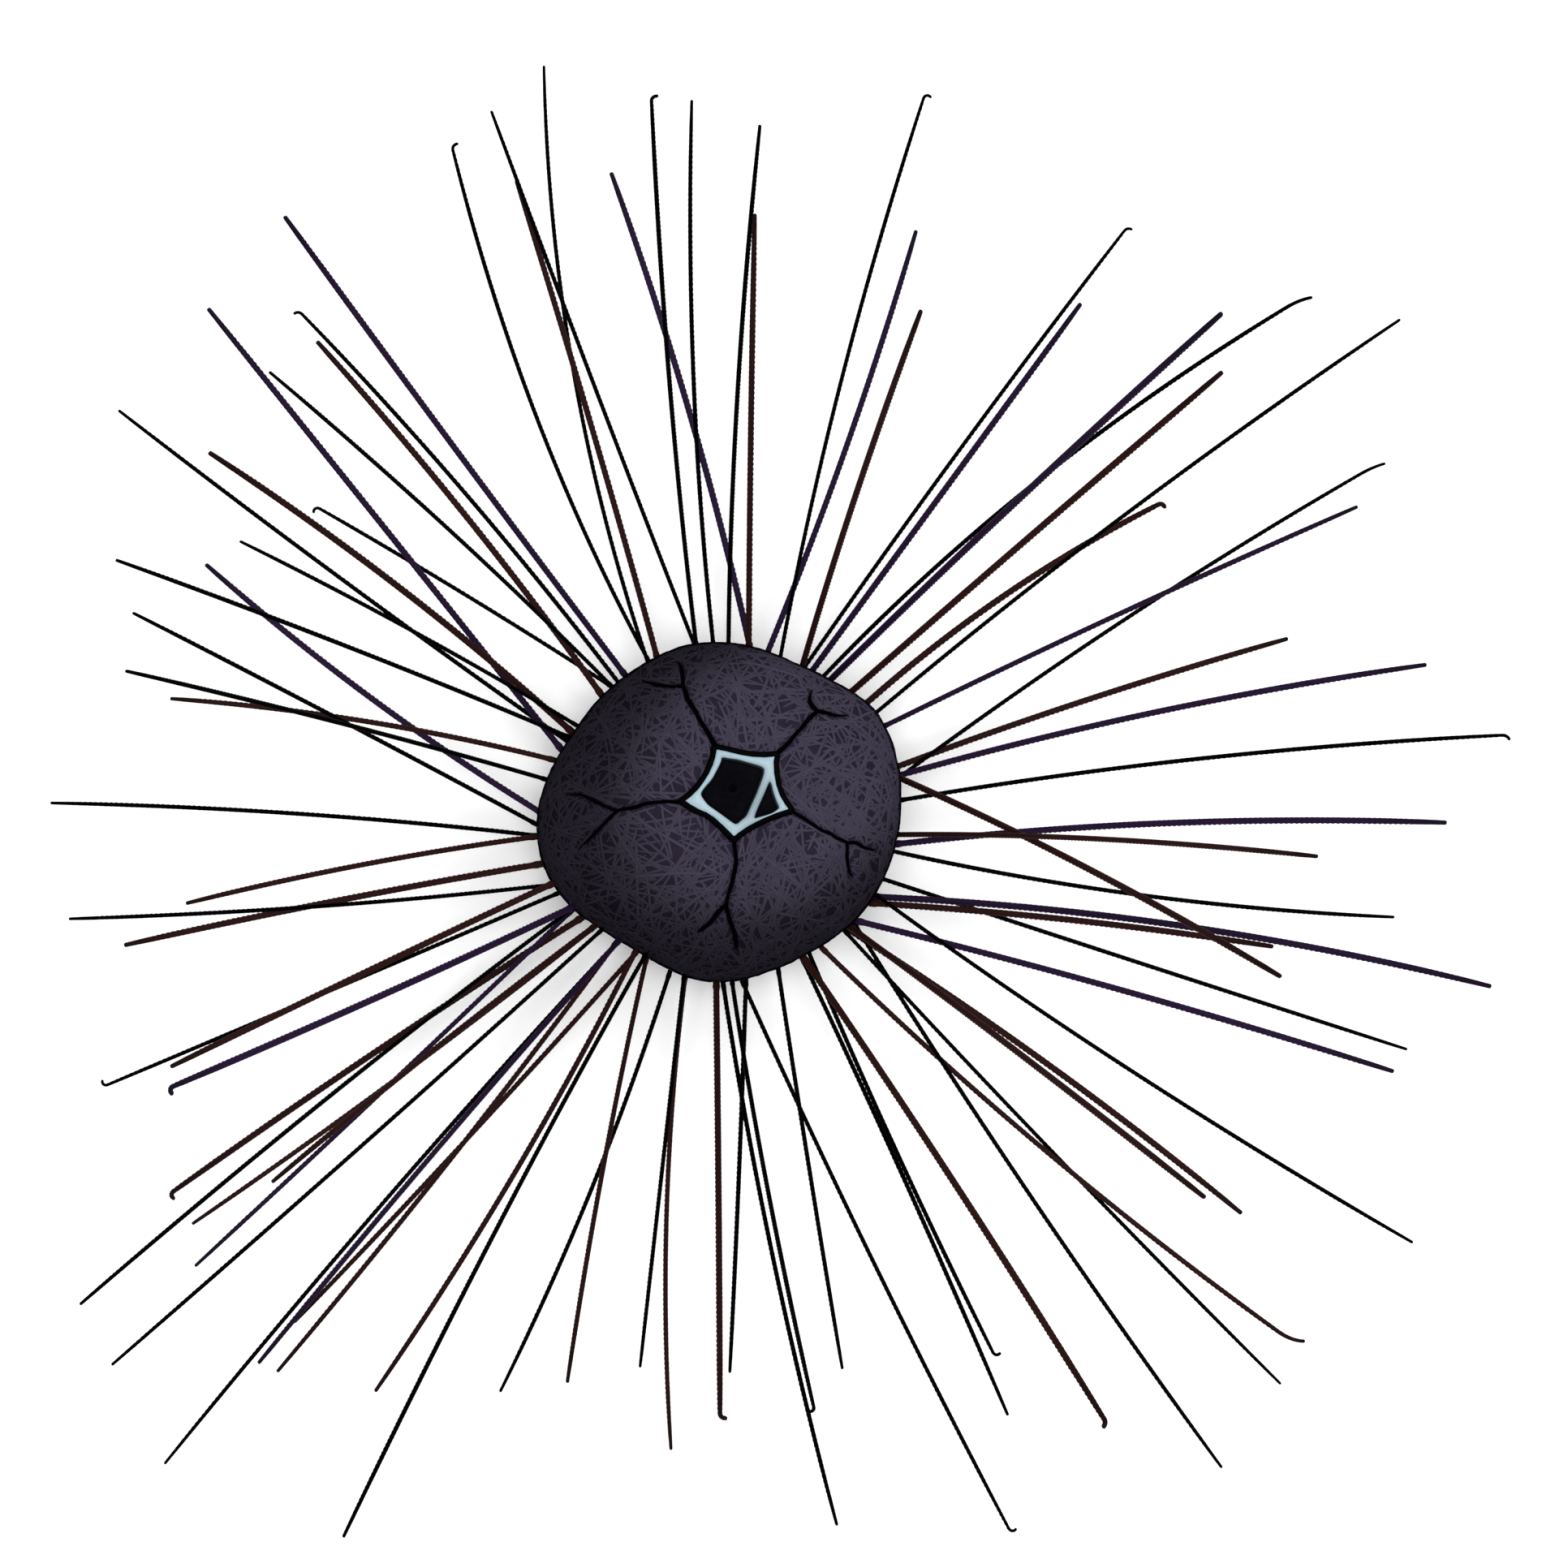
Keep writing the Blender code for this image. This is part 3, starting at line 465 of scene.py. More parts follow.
CRACKS = crack_paths()
crack_points = np.vstack([shell(azimuth, angle) for azimuth, angle, _ in CRACKS])
crack_halves = np.concatenate([half for _, _, half in CRACKS])
crack_tree = KDTree(len(crack_points))
for index, spot in enumerate(crack_points):
    crack_tree.insert(spot, index)
crack_tree.balance()


def crack_reach(points):
    """Distance of each point from the nearest crack line, and that line's half width there."""
    hits = np.array([crack_tree.find(point)[1:] for point in points.reshape(-1, 3)])
    shape = points.shape[:-1]
    return hits[:, 1].reshape(shape), crack_halves[hits[:, 0].astype(int)].reshape(shape)


# How much closer in the dressed skin's rim lies than the shell's: azimuth in degrees, mm
RIM_TRIM = (
    (0.0, 0.5), (15.0, 1.05), (32.0, 0.8), (48.0, 1.3), (62.0, 1.35), (76.0, 1.1), (92.0, 1.1), (104.0, 0.5),
    (120.0, 0.3), (140.0, 0.1), (153.0, 0.4), (165.0, 0.15), (178.0, 0.15), (190.0, 0.6), (204.0, 0.85),
    (218.0, 0.25), (230.0, 0.05), (243.0, 0.5), (258.0, 0.15), (300.0, 0.0), (325.0, 0.1), (345.0, 0.2),
)

# Relief of the skin, depth and width: the dent and the groove along a crack, the step down to the star in
# radians, and the two swells; then the width of the painted rim shade, a black line at the rim, and its soft
# edge
DENT = (0.40 * MM, 3.4 * MM)
GROOVE = (0.50 * MM, 0.16 * MM)
STAR_STEP = (0.22 * MM, 0.10)
SWELL = (0.10 * MM, 16.0 * MM)
FINE_SWELL = (0.045 * MM, 4.5 * MM)
RIM_SHADE_WIDTH = 0.5 * MM
RIM_SOFT = 0.12 * MM


def surface(azimuth, angle):
    """Points of the dressed skin and its outward normals: the shell with its dents and grooves."""
    azimuth, angle = np.broadcast_arrays(np.asarray(azimuth, float), angle)
    points, out = shell(azimuth, angle), shell_out(azimuth, angle)
    away, half = crack_reach(points)
    rise = SWELL[0] * ripples(points, SWELL[1], 5, 2) + FINE_SWELL[0] * ripples(points, FINE_SWELL[1], 6, 2)
    rise -= DENT[0] * bell(away, DENT[1])
    rise -= GROOVE[0] * bell(away, half + GROOVE[1]) * np.minimum(1.0, half / (0.6 * CRACK_HALF))
    high = angle_for(azimuth, star_at(azimuth)) if np.max(angle) > 0.9 else 1.4
    rise -= STAR_STEP[0] * held((angle - high + STAR_STEP[1]) / STAR_STEP[1]) ** 2
    side = np.where(angle > 0.0, np.abs(np.cos(angle)) ** 1.6, held(1.0 + angle / 0.5))
    rise -= np.interp(np.degrees(azimuth) % 360.0, *np.array(RIM_TRIM).T, period=360.0) * MM * side
    return points + out * rise[..., None], out


def ground_at(azimuth, angle):
    """One point of the dressed skin and its normal."""
    points, out = surface([azimuth], [angle])
    return points[0], out[0]


rim_points = surface(np.linspace(0.0, TAU, 721)[None], np.radians(np.linspace(-30.0, 40.0, 57))[:, None])[0]
rim_reach = np.hypot(rim_points[..., 0], rim_points[..., 1])
rim_spots = np.take_along_axis(rim_points, rim_reach.argmax(0)[None, :, None], 0)[0]
RIM_AZIMUTHS = np.arctan2(rim_spots[:, 1], rim_spots[:, 0])
RIM_REACH = rim_reach.max(0)


def painted_rim_shade(points, out):
    """Painted shade: one on the narrow band of the steep rim wall, where it turns away from the light, that
    shows from above as the disc's thin black outline.
    """
    edge = np.interp(np.arctan2(points[..., 1], points[..., 0]), RIM_AZIMUTHS, RIM_REACH, period=TAU)
    inside = edge - np.hypot(points[..., 0], points[..., 1])
    return 0.95 * held((RIM_SHADE_WIDTH - inside) / RIM_SOFT + 1.0) * held((out[..., 2] + 0.3) / 0.2)


# Materials

BLACK = (0, 0, 0)
NEAR_BLACK = (1, 1, 2)


def srgb(colour):
    """The linear colour of sRGB numbers out of 255."""
    part = [c / 255.0 for c in colour]
    return tuple(c / 12.92 if c < 0.04045 else ((c + 0.055) / 1.055) ** 2.4 for c in part) + (1.0,)


class Paint:
    """A material, with short names for the nodes that it is made of."""

    def __init__(self, name):
        self.material = bpy.data.materials.new(name)
        self.material.use_nodes = True
        self.tree = self.material.node_tree
        self.shader = self.tree.nodes["Principled BSDF"]

    def feed(self, node, inputs):
        """Sets inputs of a node, each to a value or to another node's socket."""
        for key, value in inputs.items():
            if isinstance(value, bpy.types.NodeSocket):
                self.tree.links.new(value, node.inputs[key])
            else:
                node.inputs[key].default_value = value

    def node(self, kind, inputs, **settings):
        node = self.tree.nodes.new("ShaderNode" + kind)
        for key, value in settings.items():
            setattr(node, key, value)
        self.feed(node, inputs)
        return node

    def place(self):
        return self.node("TexCoord", {}).outputs["Object"]

    def noise(self, scale, detail=4.0, rough=0.55, distortion=0.0):
        inputs = {"Vector": self.place(), "Scale": scale, "Detail": detail, "Roughness": rough}
        return self.node("TexNoise", {**inputs, "Distortion": distortion}).outputs["Fac"]

    def cells(self, scale, randomness):
        inputs = {"Vector": self.place(), "Scale": scale, "Randomness": randomness}
        return self.node("TexVoronoi", inputs).outputs["Distance"]

    def ramp(self, value, low, high, to_low=0.0, to_high=1.0):
        inputs = {"Value": value, "From Min": low, "From Max": high, "To Min": to_low, "To Max": to_high}
        return self.node("MapRange", inputs, interpolation_type="SMOOTHSTEP").outputs["Result"]

    def mix(self, share, a, b):
        """Colour a, and b where the share is one; each is a socket or sRGB numbers."""
        a, b = (srgb(colour) if isinstance(colour, tuple) else colour for colour in (a, b))
        return self.node("Mix", {0: share, 6: a, 7: b}, data_type="RGBA").outputs[2]

    def maths(self, kind, a, b):
        return self.node("Math", {0: a, 1: b}, operation=kind).outputs[0]

    def vector(self, kind, a, b, output="Vector"):
        return self.node("VectorMath", {0: a, 1: b}, operation=kind).outputs[output]

    def mark(self, name):
        return self.node("Attribute", {}, attribute_name=name).outputs["Fac"]

    def done(self, colour, grain, rough, specular, *layers):
        """The material, with its colour, the two roughnesses that the grain runs between, its specular
        level, and layers of bump: height, strength and distance, each over the one before."""
        inputs = {"Base Color": colour, "Roughness": self.ramp(grain, 0.3, 0.7, *rough),
                  "Specular IOR Level": specular}
        for height, strength, distance in layers:
            node = self.node("Bump", {"Height": height, "Strength": strength, "Distance": distance})
            if "Normal" in inputs:
                self.feed(node, {"Normal": inputs["Normal"]})
            inputs["Normal"] = node.outputs["Normal"]
        self.feed(self.shader, inputs)
        return self.material


# Painted light on the disc: the oval in plan that is painted lit, its middle and its half lengths along and
# across its slant
LIGHT_SPOT = (HERE[0] + 12.5 * MM, HERE[1] + 8.0 * MM, 0.0)
LIGHT_LONG = tuple(ray(math.radians(35.0)) / (35.5 * MM))
LIGHT_SHORT = tuple(ray(math.radians(125.0)) / (24.2 * MM))


def painted_disc_light(paint):
    """Painted light: one over most of the disc, falling to zero at its left and lower side and underneath,
    which are painted in shade.
    """
    place = paint.place()
    off = paint.vector("SUBTRACT", place, LIGHT_SPOT)
    along, across = (paint.vector("DOT_PRODUCT", off, axis, "Value") for axis in (LIGHT_LONG, LIGHT_SHORT))
    away = paint.node("CombineXYZ", {0: along, 1: across}).outputs[0]
    away = paint.vector("LENGTH", away, (0.0, 0.0, 0.0), "Value")
    uneven = paint.maths("SUBTRACT", paint.noise(60.0, 2.0), 0.5)
    away = paint.maths("ADD", away, paint.maths("MULTIPLY", uneven, 0.22))
    height = paint.node("SeparateXYZ", {0: place}).outputs["Z"]
    # painted shade on the underside: no painted light below 18 mm, full painted light above 27 mm
    above = paint.ramp(height, 18.0 * MM, 27.0 * MM)
    return paint.maths("MULTIPLY", paint.ramp(away, 0.68, 1.28, 1.0, 0.0), above)


def skin_material():
    paint = Paint("urchin_skin")
    light, grain = painted_disc_light(paint), paint.noise(900.0, 6.0, 0.6)
    blotch = paint.ramp(paint.noise(160.0, 4.0, 0.6, 0.4), 0.42, 0.72, 0.0, 0.35)
    # painted light and shade: a shaded and a lit copy of the skin colour, mixed by the painted disc light
    base = paint.mix(blotch, paint.mix(light, (16, 14, 19), (35, 30, 43)), (18, 15, 22))
    # painted light and shade on the pale specks too
    speck = paint.mix(light, (25, 23, 29), (50, 46, 59))
    base = paint.mix(paint.ramp(grain, 0.50, 0.80, 0.0, 0.25), base, speck)
    beads = paint.maths("SUBTRACT", 1.0, paint.cells(1900.0, 0.9))
    # the dark mark is the cracks' own black line, plus painted shade on the rim band and on the folds tucked
    # in at the star and the mouth
    return paint.done(paint.mix(paint.mark("dark"), base, NEAR_BLACK), grain, (0.48, 0.68), 0.0,
                      (beads, 0.35, 0.16 * MM), (grain, 0.5, 0.22 * MM))


def net_material():
    paint = Paint("urchin_net")
    light, tone, grain = painted_disc_light(paint), paint.mark("tone"), paint.noise(1400.0, 5.0, 0.6)
    # painted light and shade: a shaded and a lit copy of the net colour, mixed by the painted disc light
    shaded_net = paint.mix(tone, (28, 26, 33), (34, 31, 39))
    base = paint.mix(light, shaded_net, paint.mix(tone, (53, 49, 62), (59, 55, 69)))
    # painted light and shade on the specks too
    speck = paint.mix(light, (22, 20, 26), (45, 41, 53))
    base = paint.mix(paint.ramp(grain, 0.5, 0.8, 0.0, 0.3), base, speck)
    # the dark mark on the net is painted shade on the rim band
    return paint.done(paint.mix(paint.mark("dark"), base, NEAR_BLACK), grain, (0.45, 0.66), 0.0,
                      (grain, 0.45, 0.12 * MM))


def crack_material():
    paint = Paint("crack_lining")
    grain = paint.noise(1600.0)
    return paint.done(paint.mix(grain, BLACK, (4, 4, 6)), grain, (0.4, 0.7), 0.0, (grain, 0.4, 0.1 * MM))


def star_material():
    """Pale blue plates; the mark named edge is the distance inside the plate's own edge."""
    paint = Paint("star_plates")
    # painted shade: the plates are darker round this spot by the bar and paler away from it
    middle = (HERE[0] + 5.2 * MM, HERE[1] + 3.4 * MM, 0.0)
    away = paint.vector("DISTANCE", paint.vector("MULTIPLY", paint.place(), (1.0, 1.0, 0.0)), middle, "Value")
    cloud, grain = paint.noise(260.0, 5.0, 0.6, 0.6), paint.noise(1500.0, 5.0, 0.65)
    base = paint.mix(paint.ramp(away, 2.5 * MM, 8.5 * MM), (122, 139, 146), (147, 169, 179))
    base = paint.mix(paint.ramp(cloud, 0.45, 0.75, 0.0, 0.45), base, (126, 146, 156))
    base = paint.mix(paint.ramp(grain, 0.55, 0.8, 0.0, 0.4), base, (161, 182, 191))
    base = paint.mix(paint.ramp(paint.mark("edge"), -0.06 * MM, 0.10 * MM, 1.0, 0.0), base, (30, 38, 44))
    return paint.done(base, grain, (0.38, 0.6), 0.35, (paint.cells(1500.0, 1.0), 0.35, 0.10 * MM),
                      (grain, 0.4, 0.12 * MM))


def membrane_material(name, low, high):
    paint = Paint(name)
    folds = paint.noise(420.0, 5.0, 0.6, 0.8)
    return paint.done(paint.mix(folds, low, high), folds, (0.5, 0.75), 0.02, (folds, 0.6, 0.3 * MM),
                      (paint.noise(1800.0), 0.35, 0.12 * MM))


def spine_material(name, deep, pale, specular):
    """Mottled between two colours, and darker towards the tip by the mark named along."""
    paint = Paint(name)
    grain = paint.noise(700.0, 5.0, 0.6)
    base = paint.mix(paint.maths("MULTIPLY", grain, paint.mark("tone")), deep, pale)
    tip = tuple(0.5 * c for c in deep)
    base = paint.mix(paint.ramp(paint.mark("along"), 0.80, 1.0, 0.0, 0.6), base, tip)
    return paint.done(base, grain, (0.42, 0.62), specular, (grain, 0.35, 0.15 * MM))


def flesh_material(name, deep, pale, rough, specular, scale, subsurface=0.0):
    """Soft parts and small bumps: two colours in patches, with fine pale specks."""
    paint = Paint(name)
    grain, fine = paint.noise(scale, 5.0, 0.6, 0.3), paint.noise(4.0 * scale, 4.0, 0.6)
    base = paint.mix(paint.ramp(grain, 0.35, 0.7), deep, pale)
    depths = (0.6 * MM, 0.4 * MM, 0.5 * MM)
    paint.feed(paint.shader, {"Subsurface Weight": subsurface, "Subsurface Radius": depths})
    return paint.done(paint.mix(paint.ramp(fine, 0.55, 0.8, 0.0, 0.4), base, pale), grain,
                      (rough - 0.1, rough + 0.12), specular, (fine, 0.4, 0.2 * MM))


def tooth_material():
    """Ivory, paler towards the worn tip by the mark named wear."""
    paint = Paint("urchin_tooth")
    grain = paint.noise(900.0, 5.0, 0.6, 0.5)
    base = paint.mix(paint.ramp(paint.mark("wear"), 0.25, 0.95), (150, 136, 118), (226, 220, 204))
    base = paint.mix(paint.ramp(grain, 0.5, 0.8, 0.0, 0.5), base, (120, 104, 88))
    return paint.done(base, grain, (0.25, 0.45), 0.5, (grain, 0.3, 0.12 * MM))


# Skin

SKIN_COLUMNS = 600
SKIN_ROWS_ABOVE = 108
SKIN_ROWS_BELOW = 52
SKIN_GAP = 0.25 * MM
# The folds that turn in under the star, depth and push inwards, and in at the mouth disc, depth
STAR_FOLDS = ((1.1 * MM, 0.05 * MM), (0.5 * MM, 0.02 * MM))
MOUTH_FOLDS = (0.5 * MM, 1.1 * MM)


def runs_along(line):
    """How far each point of a line lies from its start, along the line."""
    return np.append(0.0, np.cumsum(np.linalg.norm(np.diff(line, axis=0), axis=1)))


def even_angles(top, low, count):
    """Height angles spaced evenly along the mean meridian."""
    fine = np.linspace(top, low, 600)
    run = runs_along(shell(np.zeros(600), fine))
    return np.interp(np.linspace(0.0, run[-1], count), run, fine)


def make_skin():
    """The unbroken skin from the star to the mouth disc."""
    azimuth = TAU * np.arange(SKIN_COLUMNS) / SKIN_COLUMNS
    top = angle_for(azimuth, star_at(azimuth) + SKIN_GAP)
    low = angle_for(azimuth, PERISTOME_RADIUS + SKIN_GAP, False)
    above = even_angles(top.mean(), 0.0, SKIN_ROWS_ABOVE) / top.mean()
    below = even_angles(0.0, low.mean(), SKIN_ROWS_BELOW)[1:] / low.mean()
    angles = np.vstack([above[:, None] * top, below[:, None] * low])
    points, out = surface(azimuth[None], angles)
    away, half = crack_reach(points)
    dark = held(1.0 - (away - half) / (0.22 * MM)) * np.minimum(1.0, half / (0.5 * CRACK_HALF))
    # The dark mark: the cracks' own black line, painted shade on the rim band, and painted shade on the fold
    # rings tucked in under the star and at the mouth disc
    dark = np.pad(np.maximum(dark, painted_rim_shade(points, out)), ((2, 2), (0, 0)), constant_values=1.0)
    inward = np.stack([np.cos(azimuth), np.sin(azimuth), np.zeros(SKIN_COLUMNS)], -1)
    rings = np.stack([*(points[0] - out[0] * depth - inward * push for depth, push in STAR_FOLDS), *points,
                      *(points[-1] - out[-1] * depth for depth in MOUTH_FOLDS)])
    spread = np.vstack([top + 0.020, top + 0.010, angles, low - 0.010, low - 0.020])
    faces = grid_faces(len(rings), SKIN_COLUMNS, True)[:, ::-1]
    uv = unwrap(azimuth, spread).reshape(-1, 2)
    return Heap().add(rings.reshape(-1, 3), [faces], [uv[faces]], dark=dark.ravel())


# Net of fine ridges: straight strokes, crossing at hubs and loose, drawn along the surface

MERIDIAN_ANGLES = np.radians(np.linspace(82.0, -70.0, 900))
MERIDIAN_RUN = runs_along(shell(np.full(900, 0.5), MERIDIAN_ANGLES))
MERIDIAN_RADIUS = np.abs(np.cos(MERIDIAN_ANGLES)) ** (2.0 / ROUNDNESS) * TEST_RADIUS
MERIDIAN_SLOPE = np.gradient(MERIDIAN_RADIUS, MERIDIAN_RUN)
# Count, belt of height angles and least gap of the hubs and of two sets of loose strokes, which end with
# their least and greatest lengths
NET_HUBS = (205, 81.0, -32.0, 4.5 * MM)
NET_LOOSE = (
    (430, 81.0, -32.0, 2.6 * MM, 8.0 * MM, 15.0 * MM),
    (150, 83.0, 45.0, 0.9 * MM, 4.0 * MM, 9.0 * MM),
)
HUB_STROKES = 6
SCATTER_TRIES = 60
# Points of a walked stroke
NET_FINE = 61
NET_STEP = 1.7 * MM
NET_SUNK = 0.09 * MM
NET_LEAST = 0.7 * MM
NET_LOWEST = -36.0


def at_run(run, values):
    """Values of the mean meridian at runs along it."""
    return np.interp(run, MERIDIAN_RUN, values)


def walk(azimuth, run, heading, step):
    """Straight walks over the shell from many starts at once: their azimuths and height angles."""
    azimuths, runs = [azimuth], [run]
    for _ in range(NET_FINE - 1):
        turn = np.cos(heading) * step / np.maximum(at_run(run, MERIDIAN_RADIUS), 2.0 * MM)
        azimuth = azimuth + turn
        heading = heading + turn * at_run(run, MERIDIAN_SLOPE)
        run = run + np.sin(heading) * step
        azimuths.append(azimuth)
        runs.append(run)
    return np.array(azimuths).T, at_run(np.array(runs).T, MERIDIAN_ANGLES)


def scatter(draw, count, top, low, least):
    """Azimuths, runs and height angles of places spread evenly over a belt of the shell."""
    run_top, run_low = np.interp(-np.radians([top, low]), -MERIDIAN_ANGLES, MERIDIAN_RUN)
    found, spots = [], []
    for _ in range(count * SCATTER_TRIES):
        run = draw.uniform(run_top, run_low)
        if draw.random() * TEST_RADIUS > at_run(run, MERIDIAN_RADIUS):
            continue
        azimuth, angle = draw.uniform(0.0, TAU), at_run(run, MERIDIAN_ANGLES)
        spot = shell(azimuth, angle)
        if spots and np.min(np.linalg.norm(np.array(spots) - spot, axis=1)) < least:
            continue
        found.append((azimuth, run, float(angle)))
        spots.append(spot)
        if len(found) == count:
            break
    return found


def net_strokes(draw):
    """Azimuth and run of the start, heading and length of every stroke."""
    strokes = []
    for azimuth, run, _ in scatter(draw, *NET_HUBS):
        first = draw.uniform(0.0, math.pi)
        radius = max(at_run(run, MERIDIAN_RADIUS), 4.0 * MM)
        for n in range(HUB_STROKES):
            heading = first + math.pi * (n + draw.uniform(-0.3, 0.3)) / HUB_STROKES
            length = draw.uniform(10.0, 18.0) * MM
            back = length * draw.uniform(0.35, 0.65)
            side = draw.normal(0.0, 0.35 * MM)
            strokes.append((azimuth - (math.cos(heading) * back + math.sin(heading) * side) / radius,
                            run - math.sin(heading) * back + math.cos(heading) * side, heading, length))
    for *belt, short, long in NET_LOOSE:
        for azimuth, run, _ in scatter(draw, *belt):
            strokes.append((azimuth, run, draw.uniform(0.0, TAU), draw.uniform(short, long)))
    return np.array(strokes).T


def make_net():
    """Low ridges with tapered ends, one for each stretch of a stroke that no crack or edge cuts off."""
    draw = np.random.default_rng(NET_SEED)
    azimuth, run, heading, length = net_strokes(draw)
    wide = draw.uniform(0.17, 0.27, len(length)) * MM
    tall = draw.uniform(0.05, 0.13, len(length)) * MM
    tone = draw.uniform(0.0, 1.0, len(length))
    step = length / (NET_FINE - 1)
    azimuths, angles = walk(azimuth, run, heading, step)
    limit = angle_for(azimuths, star_at(azimuths) + 0.12 * MM)
    away, half = crack_reach(shell(azimuths, angles))
    good = (angles < limit) & (angles > math.radians(NET_LOWEST))
    good &= away > half + 0.03 * MM + wide[:, None] * 0.5
    heap = Heap()
    for n in range(len(length)):
        ends = np.flatnonzero(np.diff(np.pad(good[n].astype(int), 1)))
        for start, end in zip(ends[::2], ends[1::2] - 1):
            size = (end - start) * step[n]
            if size < NET_LEAST:
                continue
            t = np.linspace(0.0, 1.0, int(size / NET_STEP) + 3)
            place = start + t * (end - start)
            turn, height = (np.interp(place, np.arange(NET_FINE), line[n]) for line in (azimuths, angles))
            mid, up = surface(turn, height)
            taper = np.clip(np.minimum(t, 1.0 - t) * size / (0.9 * MM), 0.3, 1.0)[:, None] ** 0.6
            side = unit(np.cross(up, np.gradient(mid, axis=0))) * wide[n] * taper
            crest, foot = mid + up * tall[n] * taper, mid - up * NET_SUNK
            # the dark mark here is painted shade on the rim band
            heap.strip([foot - side * 1.25, crest - side, crest + side, foot + side * 1.25],
                       unwrap(turn[0], height[0]), PATCH, tone=tone[n], dark=np.repeat(painted_rim_shade(mid, up), 4))
    return heap


# Across and height of the crack lining, in half widths of the crack and mm
LINING = ((-1.5, -0.55), (-1.0, 0.05), (-0.55, -0.12), (0.0, -0.26), (0.55, -0.12), (1.0, 0.05), (1.5, -0.55))


def make_crack_lining():
    """Black strips in the grooves: a narrow trough with soft lips, tapered to the tips."""
    heap = Heap()
    for azimuth, angle, half in CRACKS:
        points, out = shell(azimuth, angle), shell_out(azimuth, angle)
        ground = points + out * (SWELL[0] * ripples(points, SWELL[1], 5, 2) - 0.30 * MM)[:, None]
        side = unit(np.cross(out, np.gradient(points, axis=0))) * half[:, None]
        lips = np.clip(half / CRACK_HALF, 0.35, 1.0)[:, None] * MM
        heap.strip([ground + side * across + out * (height * lips - 0.15 * MM) for across, height in LINING],
                   unwrap(azimuth[0], angle[0]), 2.0 * PATCH)
    return heap


# Star: pale plates with two dark openings, and the cord round them

STAR_SPAN = 12.6 * MM
# The low cone of the left membrane: height and half width, and those of the pit in its top
CONE = (0.55 * MM, 1.9 * MM)
PIT = (0.95 * MM, 0.62 * MM)


def softened(polygon, rounds):
    """The polygon's corners cut off, round by round."""
    corners = np.asarray(polygon) * MM
    for _ in range(rounds):
        after = np.roll(corners, -1, axis=0)
        corners = np.stack([0.75 * corners + 0.25 * after, 0.25 * corners + 0.75 * after], 1).reshape(-1, 2)
    return corners


def inside_by(polygon, x, y):
    """Signed distance to a polygon in plan, positive inside."""
    best = np.full(x.shape, 1.0)
    crossed = np.zeros(x.shape, bool)
    for (ax, ay), (bx, by) in zip(polygon, np.roll(polygon, -1, axis=0)):
        ex, ey = bx - ax, by - ay
        t = held(((x - ax) * ex + (y - ay) * ey) / (ex * ex + ey * ey))
        best = np.minimum(best, np.hypot(x - ax - t * ex, y - ay - t * ey))
        if ay != by:
            crossed ^= ((ay > y) != (by > y)) & (x < ax + (y - ay) * ex / ey)
    return np.where(crossed, best, -best)


def plan_grid(span, cell):
    """A square grid in plan: x, y and the same as level points."""
    ticks = np.arange(-span, span + 0.5 * cell, cell)
    x, y = np.meshgrid(ticks, ticks)
    return x, y, np.stack([x, y, np.zeros_like(x)], -1)


def dome_height(x, y):
    """Height of the bare shell's upper side, before it leans."""
    azimuth, radius = np.arctan2(y, x), np.hypot(x, y)
    share = np.clip(radius / (TEST_RADIUS * (1.0 + radius / TEST_RADIUS * waves_at(azimuth))), 0.0, 0.999)
    return HEIGHT_ABOVE * (1.0 - share ** ROUNDNESS) ** (1.0 / ROUNDNESS)


def kept_sheet(x, y, z, keep, span, **marks):
    """A sheet of the grid's faces whose corners are all kept, on a square map of the given span."""
    faces = grid_faces(*x.shape)
    faces = faces[keep.ravel()[faces].all(axis=1)]
    used = np.unique(faces)
    faces = np.searchsorted(used, faces)
    uv = np.stack([0.5 + x / span, 0.5 + y / span], -1).reshape(-1, 2)[used]
    marks = {name: values.ravel()[used] for name, values in marks.items()}
    return Heap().add(leaned(x, y, z).reshape(-1, 3)[used], [faces], [uv[faces]], **marks)


def make_star():
    """The pale plates: level on top, rounded to their edges, with a wall down to the membranes."""
    x, y, flat = plan_grid(STAR_SPAN, 0.14 * MM)
    holes = np.maximum(inside_by(softened(LEFT_FIELD, 1), x, y), inside_by(softened(RIGHT_FIELD, 1), x, y))
    edge = np.minimum(inside_by(softened(PALE_EDGE, 0), x, y), -holes)
    crown = 0.42 * MM * (1.0 - np.exp(-np.maximum(edge, 0.0) / (0.42 * MM)))
    wall = 3.2 * np.minimum(edge, 0.0)
    z = dome_height(x, y) - 0.10 * MM + crown + wall
    z += 0.035 * MM * ripples(flat, 0.003, 31, 2) * held(edge / (0.3 * MM))
    return kept_sheet(x, y, z, edge > -0.50 * MM, 26.0 * MM, edge=edge)


def make_field(polygon, seed, cone):
    """A dark membrane, sunk between the plates and wrinkled; a cone rises round its opening."""
    x, y, flat = plan_grid(12.0 * MM, 0.17 * MM)
    edge = inside_by(softened(polygon, 2), x, y)
    middle = np.mean(polygon, axis=0) * MM
    away, turn = np.hypot(x - middle[0], y - middle[1]), np.arctan2(y - middle[1], x - middle[0])
    z = dome_height(x, y) - 0.62 * MM + 0.09 * MM * ripples(flat, 0.0035, seed, 3)
    if cone:
        ring = bell(away, CONE[1])
        z += CONE[0] * ring - PIT[0] * bell(away, PIT[1])
        z += 0.07 * MM * np.cos(14.0 * turn) * ring * held(away / (0.7 * MM))
    z -= 0.25 * MM * bell(np.maximum(edge, 0.0), 0.5 * MM)
    return kept_sheet(x, y, z, edge > -0.45 * MM, 26.0 * MM)


